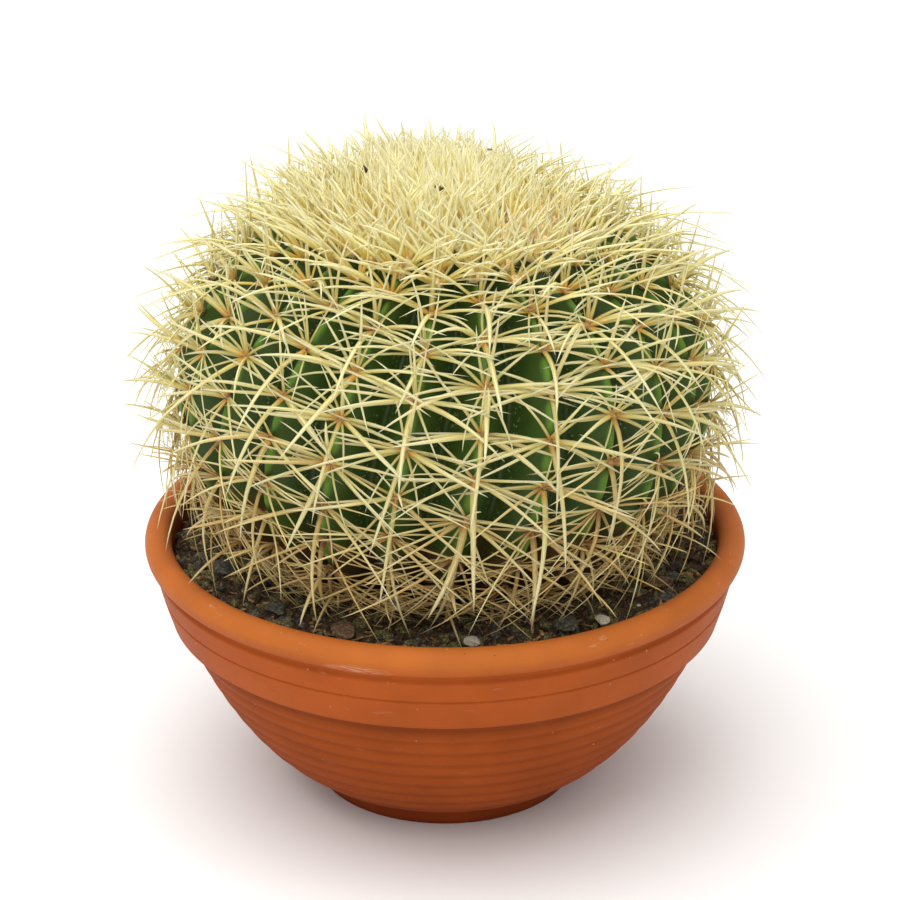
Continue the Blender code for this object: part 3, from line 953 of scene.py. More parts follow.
@dataclass
class Stem:
    """The ribbed green body with its buried base and root neck."""

    cactus: Cactus
    finish: SkinFinish = SkinFinish()
    columns_per_rib: int = 18
    rings: int = 190
    lowest: float = -0.93
    highest: float = 0.965
    rib_depth: float = 17.0 * MM
    full_radius: float = 96.0 * MM
    crest_round: float = 0.16
    furrow_round: float = 0.10
    notch: float = 1.3 * MM
    notch_length: float = 4.2 * MM
    crest_length: float = math.pi / 2 * 110.0 * MM
    cork_reach: float = 80.0 * MM
    root_radius: float = 20.0 * MM
    root_tip: float = 58.0 * MM

    def _depth(self, radius: float) -> float:
        """Depth of the furrow between two ribs where the crest has this radius."""
        return self.rib_depth * min(radius / self.full_radius, 1.0) ** 1.25

    def _fall(self, across: float) -> float:
        """0 on the crest, 1 in the furrow: round on the crest, straight flanks, narrow furrow."""

        def raw(value: float) -> float:
            """The same curve before it is brought to run from 0 to 1."""
            return math.hypot(value, self.crest_round) - math.hypot(1.0 - value, self.furrow_round)

        return (raw(across) - raw(0.0)) / (raw(1.0) - raw(0.0))

    def _notch(self, share: float, areoles: list[Areole]) -> float:
        """How much the crest dips at its areoles: 1 in the middle of a full-grown one."""
        total = 0.0
        for areole in areoles:
            away = (share - areole.share) * self.crest_length / self.notch_length
            if abs(away) < 2.6:
                total += areole.grown() * math.exp(-away * away)
        return total

    def _outward(self, share: float) -> Vector:
        """The crest's outward direction, as its part away from the axis and its part upwards."""
        crest = self.cactus.crest
        lower, upper = Vector(crest.point(share - crest.nearby)), Vector(crest.point(share + crest.nearby))
        down = (lower - upper).normalized()
        outward = Vector((-down.y, down.x))
        if outward.x < 0 or (share > 0.5 and outward.y < 0):
            outward.negate()
        return outward

    def _neck(self) -> list[Point]:
        """Radius and height of the rings that lead down from the base to the root's tip."""
        return [
            (self.root_radius, 97.0 * MM),
            (self.root_radius * 0.8, 84.0 * MM),
            (9.0 * MM, 66.0 * MM),
            (4.0 * MM, self.root_tip + 0.6 * MM),
        ]

    def build(self) -> bpy.types.Object:
        """Sweep the ribbed section from the buried base to the crown, then add the root neck.

        Returns:
            The stem.
        """
        crest = self.cactus.crest
        columns = crest.ribs * self.columns_per_rib
        by_rib = [self.cactus.of_rib(rib) for rib in range(crest.ribs)]
        half = self.rings // 2
        shares = [*np.linspace(self.lowest, 0.0, half), *np.linspace(0.0, self.highest, half)[1:]]
        points, painted_crest_light, pores, ages = [], [], [], []
        for share in shares:
            radius, height = crest.point(share)
            outward = self._outward(share)
            depth = self._depth(radius)
            notches = [self._notch(share, areoles) for areoles in by_rib]
            for column in range(columns):
                rib, part = divmod(column + self.columns_per_rib // 2, self.columns_per_rib)
                across = abs(part / self.columns_per_rib - 0.5) * 2.0
                fall, notch = self._fall(across), notches[rib % crest.ribs]
                sink = depth * fall + self.notch * notch * max(0.0, 1.0 - across * 2.2) ** 2
                real, tall = radius - outward.x * sink, height - outward.y * sink
                angle = crest.azimuth(0) + 2.0 * math.pi * column / columns + crest.turn(height)
                points.append((real * math.cos(angle), real * math.sin(angle), tall))
                # The crest light: a painted highlight on the crest, dimmer at the areole notches, going over
                # to painted shade in the furrow.
                edge = max(0.0, 1.0 - fall * 1.9) * (1.0 - 0.5 * min(notch, 1.0))
                painted_crest_light.append(edge * 0.5 + 0.5 * (1.0 - fall))
                lined = math.cos((across - 0.62) * 38.0) * math.exp(-(((across - 0.72) / 0.2) ** 2))
                pores.append(max(0.0, lined - 0.35) * 1.5)
            ages += [share_of(crest.widest, height, self.cork_reach)] * columns
        faces = lathe_faces(len(shares), columns, closed=False)
        last = len(points)
        points.append((0.0, 0.0, crest.point(1.0)[1]))
        faces += fan(last - columns, last, columns)
        above = 0
        for radius, height in self._neck():
            start = len(points)
            points += ring_points(radius, height, columns, crest.azimuth(0) + crest.turn(height))
            faces += band(above, start, columns)
            above = start
        faces += fan(above, len(points), columns)
        points.append((0.0, 0.0, self.root_tip))
        extra = len(points) - len(painted_crest_light)
        item = mesh_object("ribbed_stem", np.array(points), faces, self.finish.make())
        add_floats(item, "painted_crest_light", painted_crest_light + [0.3] * extra)
        add_floats(item, "age", ages + [0.0] + [1.0] * (extra - 1))
        add_floats(item, "pore_line", pores + [0.0] * extra)
        face_outwards(item)
        return finish_piece(item, "cactus_skin", "cactus_stem")


class Reach(Enum):
    """How a spine stands on its areole."""

    CENTRAL = "central"
    RADIAL = "radial"


@dataclass(frozen=True)
class SpineKind:
    """One spine of a cluster. Headings go round the outward direction, with 0 up the rib and 180 down it."""

    reach: Reach
    heading: float
    lift: float
    length: float
    width: float
    fall_in: float
    sag: float

    def pair(self) -> tuple[SpineKind, SpineKind]:
        """This spine and its twin on the areole's other side."""
        return self, replace(self, heading=-self.heading)


CLUSTER = (
    SpineKind(Reach.CENTRAL, 180.0, 40.0, 47.0 * MM, 3.1 * MM, 0.16, 0.14),
    *SpineKind(Reach.CENTRAL, 96.0, 36.0, 45.0 * MM, 2.5 * MM, 0.14, 0.12).pair(),
    SpineKind(Reach.CENTRAL, 3.0, 48.0, 38.0 * MM, 2.4 * MM, 0.08, 0.04),
    *SpineKind(Reach.RADIAL, 44.0, 27.0, 31.0 * MM, 1.7 * MM, 0.10, 0.05).pair(),
    *SpineKind(Reach.RADIAL, 73.0, 24.0, 38.0 * MM, 1.9 * MM, 0.12, 0.06).pair(),
    *SpineKind(Reach.RADIAL, 83.0, 20.0, 39.0 * MM, 1.9 * MM, 0.13, 0.03).pair(),
    *SpineKind(Reach.RADIAL, 92.0, 19.0, 38.0 * MM, 1.9 * MM, 0.13, -0.02).pair(),
    *SpineKind(Reach.RADIAL, 104.0, 23.0, 38.0 * MM, 2.0 * MM, 0.13, 0.03).pair(),
    *SpineKind(Reach.RADIAL, 146.0, 24.0, 30.0 * MM, 1.6 * MM, 0.10, 0.02).pair(),
    *SpineKind(Reach.RADIAL, 15.0, 36.0, 29.0 * MM, 1.6 * MM, 0.06, 0.02).pair(),
)


@dataclass
class Roots:
    """Where spines or cushions start and how they run: the points that a tool grows them from."""

    places: list = field(default_factory=list)
    vectors: dict = field(default_factory=lambda: {"aim": [], "flat": [], "bow": [], "size": []})
    numbers: dict = field(default_factory=lambda: {"age": [], "chance": []})

    def add(self, place: Vector, **values: Vector | tuple | float) -> None:
        """Add one, with its aim, flat and bow, its size (width, depth, length), its age and its chance."""
        self.places.append(tuple(place))
        for name, kept in self.vectors.items():
            kept.append(tuple(values[name]))
        for name, kept in self.numbers.items():
            kept.append(values[name])

    def as_object(self, name: str, material: bpy.types.Material) -> bpy.types.Object:
        """The points as a mesh with attributes."""
        item = mesh_object(name, np.array(self.places), [], material)
        for key, values in self.vectors.items():
            add_vectors(item, key, values)
        for key, values in self.numbers.items():
            add_floats(item, key, values)
        return item


def spine_tool() -> NodeTool:
    """Build the tree that grows one tapered, flattened and bent spine on each point.

    Returns:
        The tool, with the inputs Rings, Flatness, Taper and Material.
    """
    tool = NodeTool("grow_spines")
    rings = tool.add_input("Rings", "Int")
    flatness = tool.add_input("Flatness", "Float")
    taper = tool.add_input("Taper", "Float")
    material = tool.add_input("Material", "Material")
    line = tool.node("GeometryNodeCurvePrimitiveLine", {"End": (0.0, 0.0, 1.0)}).outputs[0]
    path = tool.node("GeometryNodeResampleCurve", {"Curve": line, "Count": rings}).outputs[0]
    factor = tool.node("GeometryNodeSplineParameter").outputs["Factor"]
    slim = tool.math("POWER", tool.math("SUBTRACT", 1.0, factor), taper)
    ring = tool.node("GeometryNodeCurvePrimitiveCircle", {"Resolution": 4, "Radius": 0.5}).outputs[0]
    squash = tool.node("ShaderNodeCombineXYZ", {0: 1.0, 1: flatness, 2: 1.0}).outputs[0]
    diamond = tool.node("GeometryNodeTransform", {"Geometry": ring, "Scale": squash}).outputs[0]
    body = tool.node(
        "GeometryNodeCurveToMesh",
        {
            "Curve": tool.mark(path, "along", factor),
            "Profile Curve": tool.mark(diamond, "side", factor),
            "Scale": tool.math("MAXIMUM", slim, 0.02),
            "Fill Caps": True,
        },
    ).outputs[0]
    bend = tool.math("POWER", tool.attribute("along", "FLOAT"), 2.0)
    shift = tool.scaled(tool.attribute("bow"), bend)
    tool.end(tool.moved(tool.stand(body), shift), material)
    return tool


@dataclass
class SpineCoat:
    """All the spines, a row for each rib, and the newest ones that stand in the crown.

    No spine passes the coat's outside: a radius all round, and over the crown a low dome that slopes off
    on one side, as the plant leans a little.
    """

    cactus: Cactus
    finish: SpineFinish = SpineFinish()
    rings: int = 8
    flatness: float = 0.5
    taper: float = 0.45
    seed: int = 5
    soil_level: float = 117.0 * MM
    rim_radius: float = 125.5 * MM
    rim_top: float = 131.0 * MM
    envelope: float = 152.5 * MM
    crown_top: float = 302.5 * MM
    crown_dome: float = 9.0 * MM
    dome_radius: float = 60.0 * MM
    slope: float = 0.2
    slope_start: float = 5.0 * MM
    slope_most: float = 12.0 * MM
    shortest: float = 7.0 * MM
    young_length: Point = (29.0 * MM, 41.0 * MM)
    young_width: Point = (2.4 * MM, 4.0 * MM)
    crown_spines: int = 40

    def _clear(self, point: Vector, short: float) -> bool:
        """True where a spine may pass: over the soil, inside or over the rim, within the coat."""
        radius = math.hypot(point.x, point.y)
        if point.z < self.soil_level:
            return False
        dome = self.crown_dome * max(0.0, 1.0 - (radius / self.dome_radius) ** 2)
        slope = min(self.slope_most, self.slope * max(0.0, point.x + self.slope_start))
        if radius > self.envelope - short or point.z > self.crown_top + dome - slope - short:
            return False
        return radius < self.rim_radius or point.z > self.rim_top

    def _fit(self, start: Vector, aim: Vector, bow: Vector, length: float, short: float) -> float:
        """Shorten a spine until all of it may pass.

        Args:
            start: its root.
            aim: its direction there.
            bow: how far it bends away by its tip, as a share of its length.
            length: the length that it would have.
            short: how far inside the coat's outside it stays.

        Returns:
            The length that it gets.
        """
        while length > self.shortest:
            bends = [start + aim * (length * t) + bow * (length * t * t) for t in (0.3, 0.5, 0.7, 0.85, 1.0)]
            if all(self._clear(point, short) for point in bends):
                return length
            length *= 0.95
        return length

    @staticmethod
    def _missing(kind: SpineKind, grown: float, age: float) -> float:
        """The chance that an areole of this age lacks a spine of this kind."""
        if kind.reach is Reach.CENTRAL:
            return 0.1 * (1.0 - grown)
        slanting = abs(math.cos(math.radians(kind.heading))) > 0.5
        middle_age = math.exp(-(((age - 0.66) / 0.14) ** 2))
        rare = 0.13 + 0.28 * slanting + 0.48 * (1.0 - grown) ** 2 + 0.04 * middle_age
        return rare - 0.4 * max(0.0, age - 0.8)

    def _cluster(self, areole: Areole, roots: Roots, draw: random.Random) -> None:
        """Add the spines of one areole: broad and upright while it is new, spread and bent once grown.

        Args:
            areole: where they grow.
            roots: what they are added to.
            draw: where their small differences come from.
        """
        grown, age, fresh = areole.grown(), areole.age(), areole.fresh()
        young = 1.0 - grown
        cushion = (0.8 + 1.2 * grown) * MM
        out = Vector((areole.here.x, areole.here.y, 0.0)).normalized()
        for kind in CLUSTER:
            if draw.random() < self._missing(kind, grown, age):
                continue
            sweep = math.copysign(16.0 * max(0.0, age - 0.45), kind.heading)
            sweep *= math.sin(math.radians(abs(kind.heading)))
            heading = math.radians(kind.heading + sweep + draw.gauss(0.0, 5.0 + 16.0 * young))
            lift = math.radians(kind.lift + 14.0 * fresh + draw.gauss(0.0, 6.0))
            level = areole.side * math.sin(heading) - areole.down * math.cos(heading)
            settled = level * math.cos(lift) + areole.outward * math.sin(lift)
            upright = areole.outward * 0.35 + Vector((0.0, 0.0, 0.7)) + out * draw.uniform(-0.05, 0.2)
            upright = (upright + level * draw.uniform(0.1, 0.7)).normalized()
            aim = (upright + (settled - upright) * grown).normalized()
            length = kind.length * grown + draw.uniform(*self.young_length) * young
            length *= draw.gauss(1.0, 0.10)
            depth = kind.width * draw.gauss(1.0, 0.12) * (1.0 - 0.14 * age)
            width = depth * grown + draw.uniform(*self.young_width) * young
            inward = kind.fall_in * draw.gauss(1.15, 0.4) * grown * (1.0 + 1.6 * age)
            drop = kind.sag + (0.02 + 0.12 * fresh + 0.36 * age**3) * grown + draw.gauss(0.0, 0.09)
            aside = draw.gauss(0.0, 0.10 + 0.08 * fresh)
            bow = areole.down * drop - areole.outward * inward + areole.side * aside
            bow = bow - aim * bow.dot(aim) * 0.5
            facing = areole.outward * (0.4 + grown) + areole.down * draw.gauss(0.9, 0.4) * young
            facing += areole.side * draw.gauss(0.0, 0.5) * young
            flat = (facing - aim * facing.dot(aim)).normalized()
            start = areole.here + level * cushion * draw.uniform(0.5, 1.0) + areole.outward * 0.3 * MM
            short = abs(draw.gauss(0.0, 3.0 + 2.0 * young)) * MM
            fitted = self._fit(start, aim, bow, length, short)
            if grown > 0.5 and fitted < 0.45 * length:
                continue
            slim = 0.5 + 0.5 * fitted / length
            size = (width * slim, depth * slim, fitted)
            roots.add(start, aim=aim, flat=flat, bow=bow * fitted, size=size, age=age, chance=draw.random())

    def _crown_roots(self, draw: random.Random) -> Roots:
        """The newest spines, which stand almost upright in the wool."""
        roots = Roots()
        height = self.cactus.crest.point(0.97)[1] + 1.0 * MM
        for radius, angle in sunflower(self.crown_spines, self.cactus.inner_radius * 1.05):
            out = Vector((math.cos(angle), math.sin(angle), 0.0))
            place = out * radius + Vector((0.0, 0.0, height))
            lean = math.radians(22.0 + draw.gauss(0.0, 12.0))
            way = angle + draw.gauss(0.0, 1.2)
            aim = Vector((math.cos(way) * math.sin(lean), math.sin(way) * math.sin(lean), math.cos(lean)))
            facing = Vector((draw.gauss(0.0, 1.0), draw.gauss(0.0, 1.0), 0.2))
            flat = (facing - aim * facing.dot(aim)).normalized()
            bow = out * draw.gauss(0.02, 0.08) + Vector((-out.y, out.x, 0.0)) * draw.gauss(0.0, 0.08)
            length, short = draw.uniform(24.0, 33.0) * MM, abs(draw.gauss(0.0, 5.0)) * MM
            length = self._fit(place, aim, bow, length, short)
            size = (draw.uniform(2.0, 3.4) * MM, 1.8 * MM, length)
            roots.add(place, aim=aim, flat=flat, bow=bow * length, size=size, age=0.0, chance=draw.random())
        return roots

    def build(self) -> list[bpy.types.Object]:
        """Grow each rib's row and the crown's spines.

        Returns:
            The rows, then the newest spines.
        """
        tool = spine_tool()
        material = self.finish.make()
        values = {"Rings": self.rings, "Flatness": self.flatness, "Taper": self.taper, "Material": material}
        made = []
        for rib in range(self.cactus.crest.ribs):
            draw = random.Random(self.seed * 1000 + rib)
            roots = Roots()
            for areole in self.cactus.of_rib(rib):
                self._cluster(areole, roots, draw)
            item = tool.run(roots.as_object(f"spines_of_rib_{rib + 1:02d}", material), values)
            made.append(finish_piece(item, "spines", f"spine_row_{rib + 1:02d}"))
        crown = self._crown_roots(random.Random(self.seed))
        item = tool.run(crown.as_object("newest_spines", material), values)
        made.append(finish_piece(item, "spines"))
        return made


def felt_tool() -> NodeTool:
    """Build the tree that sets a small lumpy cushion with short hairs on each point.

    Returns:
        The tool, with the inputs Hairs per square metre, Hair length, Hair width, Seed and Material.
    """
    tool = NodeTool("set_felt")
    hairs = tool.add_input("Hairs per square metre", "Float")
    hair_length = tool.add_input("Hair length", "Float")
    hair_width = tool.add_input("Hair width", "Float")
    seed = tool.add_input("Seed", "Int")
    material = tool.add_input("Material", "Material")
    ball = tool.node("GeometryNodeMeshUVSphere", {"Segments": 9, "Rings": 5, "Radius": 0.5}).outputs[0]
    lumps = tool.node("ShaderNodeTexNoise", {"Scale": 620.0, "Detail": 2.0}).outputs[1]
    lumpy = tool.roughened(tool.stand(ball), lumps, 2.4 * MM)
    spread = {"Mesh": lumpy, "Density": hairs, "Seed": seed}
    spots = tool.node("GeometryNodeDistributePointsOnFaces", spread)
    hair = tool.node(
        "GeometryNodeMeshCone",
        {"Vertices": 3, "Side Segments": 2, "Radius Top": 0.1, "Radius Bottom": 0.5, "Depth": 1.0},
    ).outputs[0]
    tilt = tool.vary((-0.9, -0.9, -3.1), (0.9, 0.9, 3.1), seed)
    leaning = tool.node(
        "FunctionNodeRotateRotation",
        {"Rotation": spots.outputs["Rotation"], "Rotate By": tilt},
        rotation_space="LOCAL",
    ).outputs[0]
    scale = tool.node("ShaderNodeCombineXYZ", {0: hair_width, 1: hair_width, 2: hair_length}).outputs[0]
    coat = tool.instances(spots.outputs["Points"], hair, leaning, scale)
    joined = tool.node("GeometryNodeJoinGeometry", {"Geometry": lumpy})
    tool.tree.links.new(coat, joined.inputs[0])
    tool.end(joined.outputs[0], material)
    return tool


@dataclass
class Felt:
    """The felt cushion of every areole and the wool of the crown."""

    cactus: Cactus
    felt: FibreFinish = FibreFinish("areole_felt", "#7e5429", "#c7a273")
    # The wool's last number makes it shine by itself a little: painted light for light scattered in its
    # hairs.
    wool: FibreFinish = FibreFinish("crown_wool", "#d6b26c", "#f1deac", 0.4, 0.12)
    woolly_until: float = 0.8
    inner_reach: float = 24.0 * MM
    tufts: int = 24

    def _cushions(self, young: bool) -> Roots:
        """A cushion for each areole that is young, or for each that isn't."""
        roots = Roots()
        for areole in self.cactus.areoles:
            grown, age = areole.grown(), areole.age()
            if (grown < self.woolly_until) is not young:
                continue
            if not young:
                size, thick, lift = 4.2 - 0.9 * age, 2.0, -0.2
            elif areole.travelled > self.inner_reach:
                size, thick, lift = 9.0 - 4.0 * grown, 6.5 - 4.0 * grown, 1.0
            else:
                size, thick, lift = 6.6, 4.4, 1.0
            roots.add(
                areole.here + areole.outward * lift * MM,
                aim=areole.outward,
                flat=areole.down,
                bow=Vector(),
                size=(size * MM, size * MM, thick * MM),
                age=age,
                chance=grown,
            )
        return roots

    def _tuft(self) -> Roots:
        """The cushions that fill the crown's middle."""
        roots = Roots()
        top = self.cactus.crest.point(0.98)[1]
        for radius, angle in sunflower(self.tufts, self.cactus.inner_radius):
            roots.add(
                Vector((radius * math.cos(angle), radius * math.sin(angle), top)),
                aim=Vector((0, 0, 1)),
                flat=Vector((1, 0, 0)),
                bow=Vector(),
                size=(8.0 * MM, 8.0 * MM, 6.0 * MM),
                age=0.0,
                chance=0.5,
            )
        return roots

    def build(self) -> list[bpy.types.Object]:
        """Set the cushions, then the wool of the crown.

        Returns:
            The felt, the young wool and the crown's tuft.
        """
        tool = felt_tool()
        felt, wool = self.felt.make(), self.wool.make()
        short = {"Hairs per square metre": 0.5e6, "Hair length": 1.5 * MM, "Hair width": 0.22 * MM}
        long = {"Hairs per square metre": 0.6e6, "Hair length": 3.0 * MM, "Hair width": 0.29 * MM}
        made = []
        for name, roots, material, hairs, seed, nodes in (
            ("areole_felt", self._cushions(False), felt, short, 3, ()),
            ("young_wool", self._cushions(True), wool, long, 8, ()),
            ("crown_tuft", self._tuft(), wool, long, 21, ("crown_wool",)),
        ):
            values = {**hairs, "Seed": seed, "Material": material}
            item = tool.run(roots.as_object(name, material), values)
            made.append(finish_piece(item, "areole_wool", *nodes))
        return made


# ---------------------------------------------------------------- the soil


def grit_tool() -> NodeTool:
    """Build the tree that strews broken grains on the faces marked as open ground.

    Returns:
        The tool, with the inputs Grains per square metre, Smallest, Largest, Brokenness, Seed and Material.
    """
    tool = NodeTool("strew_grit")
    density = tool.add_input("Grains per square metre", "Float")
    small = tool.add_input("Smallest", "Vector")
    large = tool.add_input("Largest", "Vector")
    brokenness = tool.add_input("Brokenness", "Float")
    seed = tool.add_input("Seed", "Int")
    material = tool.add_input("Material", "Material")
    spots = tool.node(
        "GeometryNodeDistributePointsOnFaces",
        {
            "Mesh": tool.source.outputs["Geometry"],
            "Density": density,
            "Seed": seed,
            "Selection": tool.math("GREATER_THAN", tool.attribute("open", "FLOAT"), 0.5),
        },
    ).outputs["Points"]
    ball = tool.node("GeometryNodeMeshIcoSphere", {"Radius": 0.5, "Subdivisions": 2}).outputs[0]
    size = tool.vary(small, large, seed)
    turn = tool.vary((-0.5, -0.5, -3.1), (0.5, 0.5, 3.1), seed)
    cells = tool.node("ShaderNodeTexVoronoi", {"Scale": 330.0}, feature="SMOOTH_F1").outputs[1]
    grains = tool.real(tool.instances(spots, ball, turn, size))
    tool.end(tool.roughened(grains, cells, brokenness), material)
    return tool


@dataclass(frozen=True)
class Grains:
    """One kind of grain in the soil: how many lie on a square metre, and how large and broken they are."""

    name: str
    density: float
    smallest: tuple[float, float, float]
    largest: tuple[float, float, float]
    brokenness: float
    slot: str
    finish: GroundFinish


COMPOST = GroundFinish("potting_compost", "#120c06", "#3f2e1b", "#8e6c44", 1.7, 0.92, 1.2)
BASALT = GroundFinish("basalt_grit", "#181713", "#403d33", "#8f8a76", 1.1, 0.7, 0.4)
SHREDS = GroundFinish("bark_shreds", "#4a3018", "#9c7644", "#d8b47c", 1.6, 0.85, 0.4)
MOSS = GroundFinish("mossy_flakes", "#242210", "#5f592c", "#b9b078", 0.9, 0.85, 0.8)
PERLITE = GroundFinish("perlite_grains", "#a79c8a", "#d0c8b6", "#e8e2d4", 0.8, 0.8, 0.2)

STREWN = (
    Grains("compost_crumbs", 40000.0, (1.8, 1.8, 1.1), (5.6, 4.8, 3.2), 1.8, "potting_soil", COMPOST),
    Grains("basalt_grit", 7000.0, (2.6, 2.4, 2.0), (9.5, 7.5, 6.0), 3.2, "basalt", BASALT),
    Grains("bark_shreds", 15000.0, (4.0, 0.9, 0.8), (13.0, 2.4, 2.0), 2.0, "bark", SHREDS),
    Grains("mossy_flakes", 15000.0, (2.6, 2.2, 1.6), (10.5, 8.0, 5.0), 3.2, "potting_soil", MOSS),
    Grains("perlite_grains", 600.0, (1.0, 1.0, 0.8), (2.8, 2.4, 2.0), 1.0, "perlite", PERLITE),
)


@dataclass
class Soil:
    """The potting soil: a lumpy dark bed with grit, bark and perlite in it."""

    cactus: Cactus
    bowl: TerracottaBowl
    level: float = 114.6 * MM
    wall: float = 126.2 * MM
    gap: float = 0.8 * MM
    lowest: float = 57.4 * MM
    columns: int = 220
    rings: int = 46
    first_seed: int = 31

    def _surface(self, radius: float, angle: float, hollow: float) -> float:
        """Height of the open surface: lumps on lumps, level at the wall and at the plant."""
        place = Vector((radius * math.cos(angle), radius * math.sin(angle), 0.0))
        edge = min(1.0, (self.wall - radius) / (4.0 * MM)) * min(1.0, (radius - hollow) / (4.0 * MM))
        lumps = 3.0 * noise.noise(place * 60.0) + 3.0 * noise.noise(place * 150.0)
        lumps += 1.8 * noise.noise(place * 360.0)
        share = (self.wall - radius) / (self.wall - hollow)
        return self.level + 2.0 * MM * share + lumps * MM * max(edge, 0.0)

    def _open_rings(self, hollow: float) -> list[tuple[float, float, float]]:
        """The points of the open surface, from the wall to the plant."""
        points = []
        for ring in range(self.rings):
            radius = self.wall + (hollow - self.wall) * ring / (self.rings - 1)
            for column in range(self.columns):
                angle = 2.0 * math.pi * column / self.columns
                height = self._surface(radius, angle, hollow)
                points.append((radius * math.cos(angle), radius * math.sin(angle), height))
        return points

    def build(self) -> list[bpy.types.Object]:
        """Make the bed, from the bowl's floor up its wall, over the surface and down round the plant.

        Returns:
            The bed and the grains on it.
        """
        crest, columns = self.cactus.crest, self.columns
        wall_side = [(radius - 0.6 * MM, height + 0.3 * MM) for radius, height in self.bowl.inside()[:-2]]
        under = [point for point in reversed(wall_side) if point[1] < self.level - 6.0 * MM]
        around = [(crest.radius_at(height) + self.gap, height) for height in (110.0 * MM, 104.0 * MM)]
        around += [(26.0 * MM, 95.2 * MM), (9.2 * MM, self.lowest)]
        points = [point for ring in under for point in ring_points(*ring, columns)]
        opened = [0.0] * len(points)
        points += self._open_rings(crest.radius_at(self.level) + self.gap)
        opened += [1.0] * (len(points) - len(opened))
        points += [point for ring in around for point in ring_points(*ring, columns)]
        faces = lathe_faces(len(points) // columns, columns, closed=False)
        faces += fan(0, len(points), columns)
        faces += fan(len(points) - columns, len(points) + 1, columns)
        points += [(0.0, 0.0, under[0][1]), (0.0, 0.0, self.lowest)]
        opened += [0.0] * (len(points) - len(opened))
        bed = mesh_object("soil_bed", np.array(points), faces, COMPOST.make())
        add_floats(bed, "open", opened)
        face_outwards(bed)
        grains = self._strew(bed)
        return [finish_piece(bed, "potting_soil", "potting_soil"), *grains]

    def _strew(self, bed: bpy.types.Object) -> list[bpy.types.Object]:
        """Strew each kind of grain over the open surface."""
        tool = grit_tool()
        made = []
        for seed, kind in enumerate(STREWN, self.first_seed):
            item = link_object(kind.name, bed.data.copy(), None)
            values = {
                "Grains per square metre": kind.density,
                "Smallest": tuple(value * MM for value in kind.smallest),
                "Largest": tuple(value * MM for value in kind.largest),
                "Brokenness": kind.brokenness * MM,
                "Seed": seed,
                "Material": kind.finish.make(),
            }
            made.append(finish_piece(tool.run(item, values), kind.slot))
        return made


@dataclass
class BrokenPiece:
    """One broken piece: a ball cut by random planes, with a grained skin.

    Its name also fixes how it is broken, and nothing of it goes under its floor. A flaky piece has the
    finer grain of bark.
    """

    name: str
    middle: Vector
    half: Vector
    flaky: bool = True
    floor: float = 0.0
    cuts: int = 9
    sharp_angle: float = math.radians(32.0)

    def build(self, material: bpy.types.Material) -> bpy.types.Object:
        """Break the ball and put it in its place.

        Args:
            material: what it is made of.

        Returns:
            The piece.
        """
        draw = random.Random(f"broken {self.name}")
        shape = bmesh.new()
        bmesh.ops.create_icosphere(shape, subdivisions=4, radius=1.0)
        planes = []
        for _ in range(self.cuts):
            way = Vector((draw.gauss(0, 1), draw.gauss(0, 1), draw.gauss(0, 1))).normalized()
            planes.append((way, draw.uniform(0.55, 0.85)))
        grain = 10.0 if self.flaky else 5.0
        for vert in shape.verts:
            point = vert.co.copy()
            for way, far in planes:
                point -= way * max(0.0, point.dot(way) - far)
            point *= 1.0 + 0.07 * noise.noise(Vector((point.x * grain, point.y * 3.0, point.z * grain)))
            vert.co = self.middle + point * self.half * 1.12
            vert.co.z = max(vert.co.z, self.floor)
        mesh = bpy.data.meshes.new(self.name)
        shape.to_mesh(mesh)
        shape.free()
        item = link_object(self.name, mesh, material)
        mesh.set_sharp_from_angle(angle=self.sharp_angle)
        return item


@dataclass
class LooseChips:
    """The larger loose pieces that lie on the soil, each where its node is."""

    nodes: list[str]
    basalt: GroundFinish = GroundFinish("basalt_chip", "#1a1916", "#413e37", "#88836f", 1.4, 0.7, 0.4)
    bark: GroundFinish = GroundFinish("bark_chip", "#2f2116", "#6b5138", "#a58a62", 1.5, 0.85, 0.5)
    perlite: GroundFinish = GroundFinish("perlite_chip", "#8f8470", "#bfb6a2", "#e0d9ca", 0.9, 0.85, 0.4)
    sunk: float = 0.4 * MM

    def build(self) -> list[bpy.types.Object]:
        """Make an angular piece in the box of each node.

        Returns:
            The pieces.
        """
        made = []
        for kind, slot, finish in (
            ("basalt_chip", "basalt", self.basalt),
            ("bark_chip", "bark", self.bark),
            ("perlite_grain", "perlite", self.perlite),
        ):
            material = finish.make()
            for node in sorted(name for name in self.nodes if name.startswith(kind)):
                low, high = (Vector(corner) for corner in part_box(node))
                middle, half = (low + high) / 2, (high - low) / 2
                chip = BrokenPiece(f"loose_{node}", middle, half, slot == "bark", low.z - self.sunk)
                made.append(finish_piece(chip.build(material), slot, node))
        return made


@dataclass
class CrownLitter:
    """A few tiny dark bits of dead flower and dirt, caught among the newest spines.

    Each bit has its distance from the axis in millimetres, its turn in degrees, and its height and its size
    in millimetres.
    """

    finish: GroundFinish = GroundFinish("dry_litter", "#1d150d", "#4a3722", "#7c6544", 0.8, 0.9, 0.4)
    bits: tuple[tuple[float, float, float, float], ...] = (
        (20.0, -100.0, 300.0, 1.5),
        (21.5, -93.0, 299.0, 1.1),
        (36.0, 172.0, 299.0, 1.3),
        (44.0, 62.0, 297.0, 0.9),
    )

    def build(self) -> list[bpy.types.Object]:
        """Set each bit in its place.

        Returns:
            The bits.
        """
        material = self.finish.make()
        made = []
        for index, (away, turn, height, size) in enumerate(self.bits):
            angle = math.radians(turn)
            middle = Vector((away * math.cos(angle), away * math.sin(angle), height)) * MM
            half = Vector((size * 1.3, size * 0.6, size * (0.6 + 0.5 * (index % 3)))) * MM
            item = BrokenPiece(f"litter_{index + 1}", middle, half).build(material)
            made.append(finish_piece(item, "bark"))
        return made


# ---------------------------------------------------------------- the studio


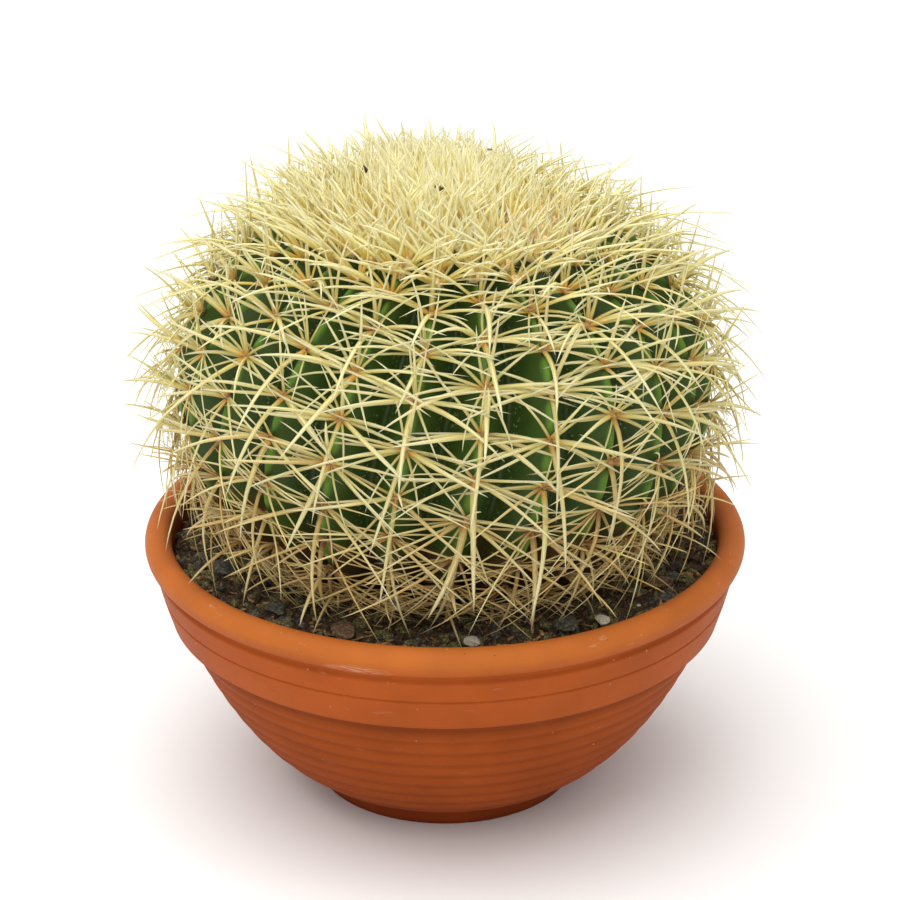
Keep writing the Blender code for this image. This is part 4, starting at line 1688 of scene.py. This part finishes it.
@dataclass
class Studio:
    """A pale floor, soft light and the camera."""

    floor_colour: str = "#f4f3f1"
    floor_half: float = 6.0
    sky: float = 0.68
    camera_place: tuple[float, float, float] = (0.0023, -1.5256, 0.828)
    pitch: float = math.radians(66.47)
    lens: float = 143.65
    sensor: float = 36.0
    farthest: float = 50.0
    lamp_aim: tuple[float, float, float] = (0.0, 0.0, 0.15)

    def build(self) -> None:
        """Set the floor, the world, the lamps and the camera."""
        self._floor()
        self._world()
        self._lamp("overhead", (-0.35, -0.25, 2.3), 2.8, 62.0)
        self._lamp("front", (-0.3, -2.2, 1.3), 1.6, 9.0)
        self._camera()
        bpy.context.scene.view_settings.view_transform = "Standard"

    def _camera(self) -> None:
        """The camera, at standing height in front of the plant."""
        lens = bpy.data.cameras.new("camera")
        lens.lens = self.lens
        lens.sensor_width = self.sensor
        lens.clip_end = self.farthest
        camera = bpy.data.objects.new("camera", lens)
        camera.location = self.camera_place
        camera.rotation_euler = (self.pitch, 0.0, 0.0)
        bpy.context.scene.collection.objects.link(camera)
        bpy.context.scene.camera = camera

    def _floor(self) -> None:
        """A wide pale floor with the faintest cloudiness."""
        recipe = Recipe("pale_floor")
        tone = recipe.span(recipe.noise(recipe.place(), 3.0), 0.3, 0.7, 0.99, 1.0)
        colour = recipe.tone(linear(self.floor_colour), tone)
        material = recipe.end({"Base Color": colour, "Roughness": 0.9})
        size = self.floor_half
        corners = np.array([(-size, -size, 0), (size, -size, 0), (size, size, 0), (-size, size, 0)])
        mesh_object("floor", corners, [(0, 1, 2, 3)], material)

    def _world(self) -> None:
        """An even white sky."""
        world = bpy.data.worlds.new("soft_sky")
        world.use_nodes = True
        background = world.node_tree.nodes["Background"]
        background.inputs[0].default_value = (1.0, 1.0, 1.0, 1.0)
        background.inputs[1].default_value = self.sky
        bpy.context.scene.world = world

    def _lamp(self, name: str, place: tuple[float, float, float], size: float, power: float) -> None:
        """A large square lamp that faces the plant."""
        lamp = bpy.data.lights.new(name, "AREA")
        lamp.size = size
        lamp.energy = power
        item = bpy.data.objects.new(name, lamp)
        item.location = place
        aim = Vector(self.lamp_aim) - Vector(place)
        item.rotation_euler = aim.to_track_quat("-Z", "Y").to_euler()
        bpy.context.scene.collection.objects.link(item)


def main() -> None:
    """Load the frame and build every piece in order."""
    logging.basicConfig(level=logging.INFO, format="%(message)s")
    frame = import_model()
    cactus = Cactus()
    LOG.info("%d areoles on %d ribs", len(cactus.areoles), cactus.crest.ribs)
    bowl = TerracottaBowl()
    bowl.build()
    Stem(cactus).build()
    Felt(cactus).build()
    SpineCoat(cactus).build()
    Soil(cactus, bowl).build()
    LooseChips(list(frame["nodes"])).build()
    CrownLitter().build()
    Studio().build()


if __name__ == "__main__":
    main()
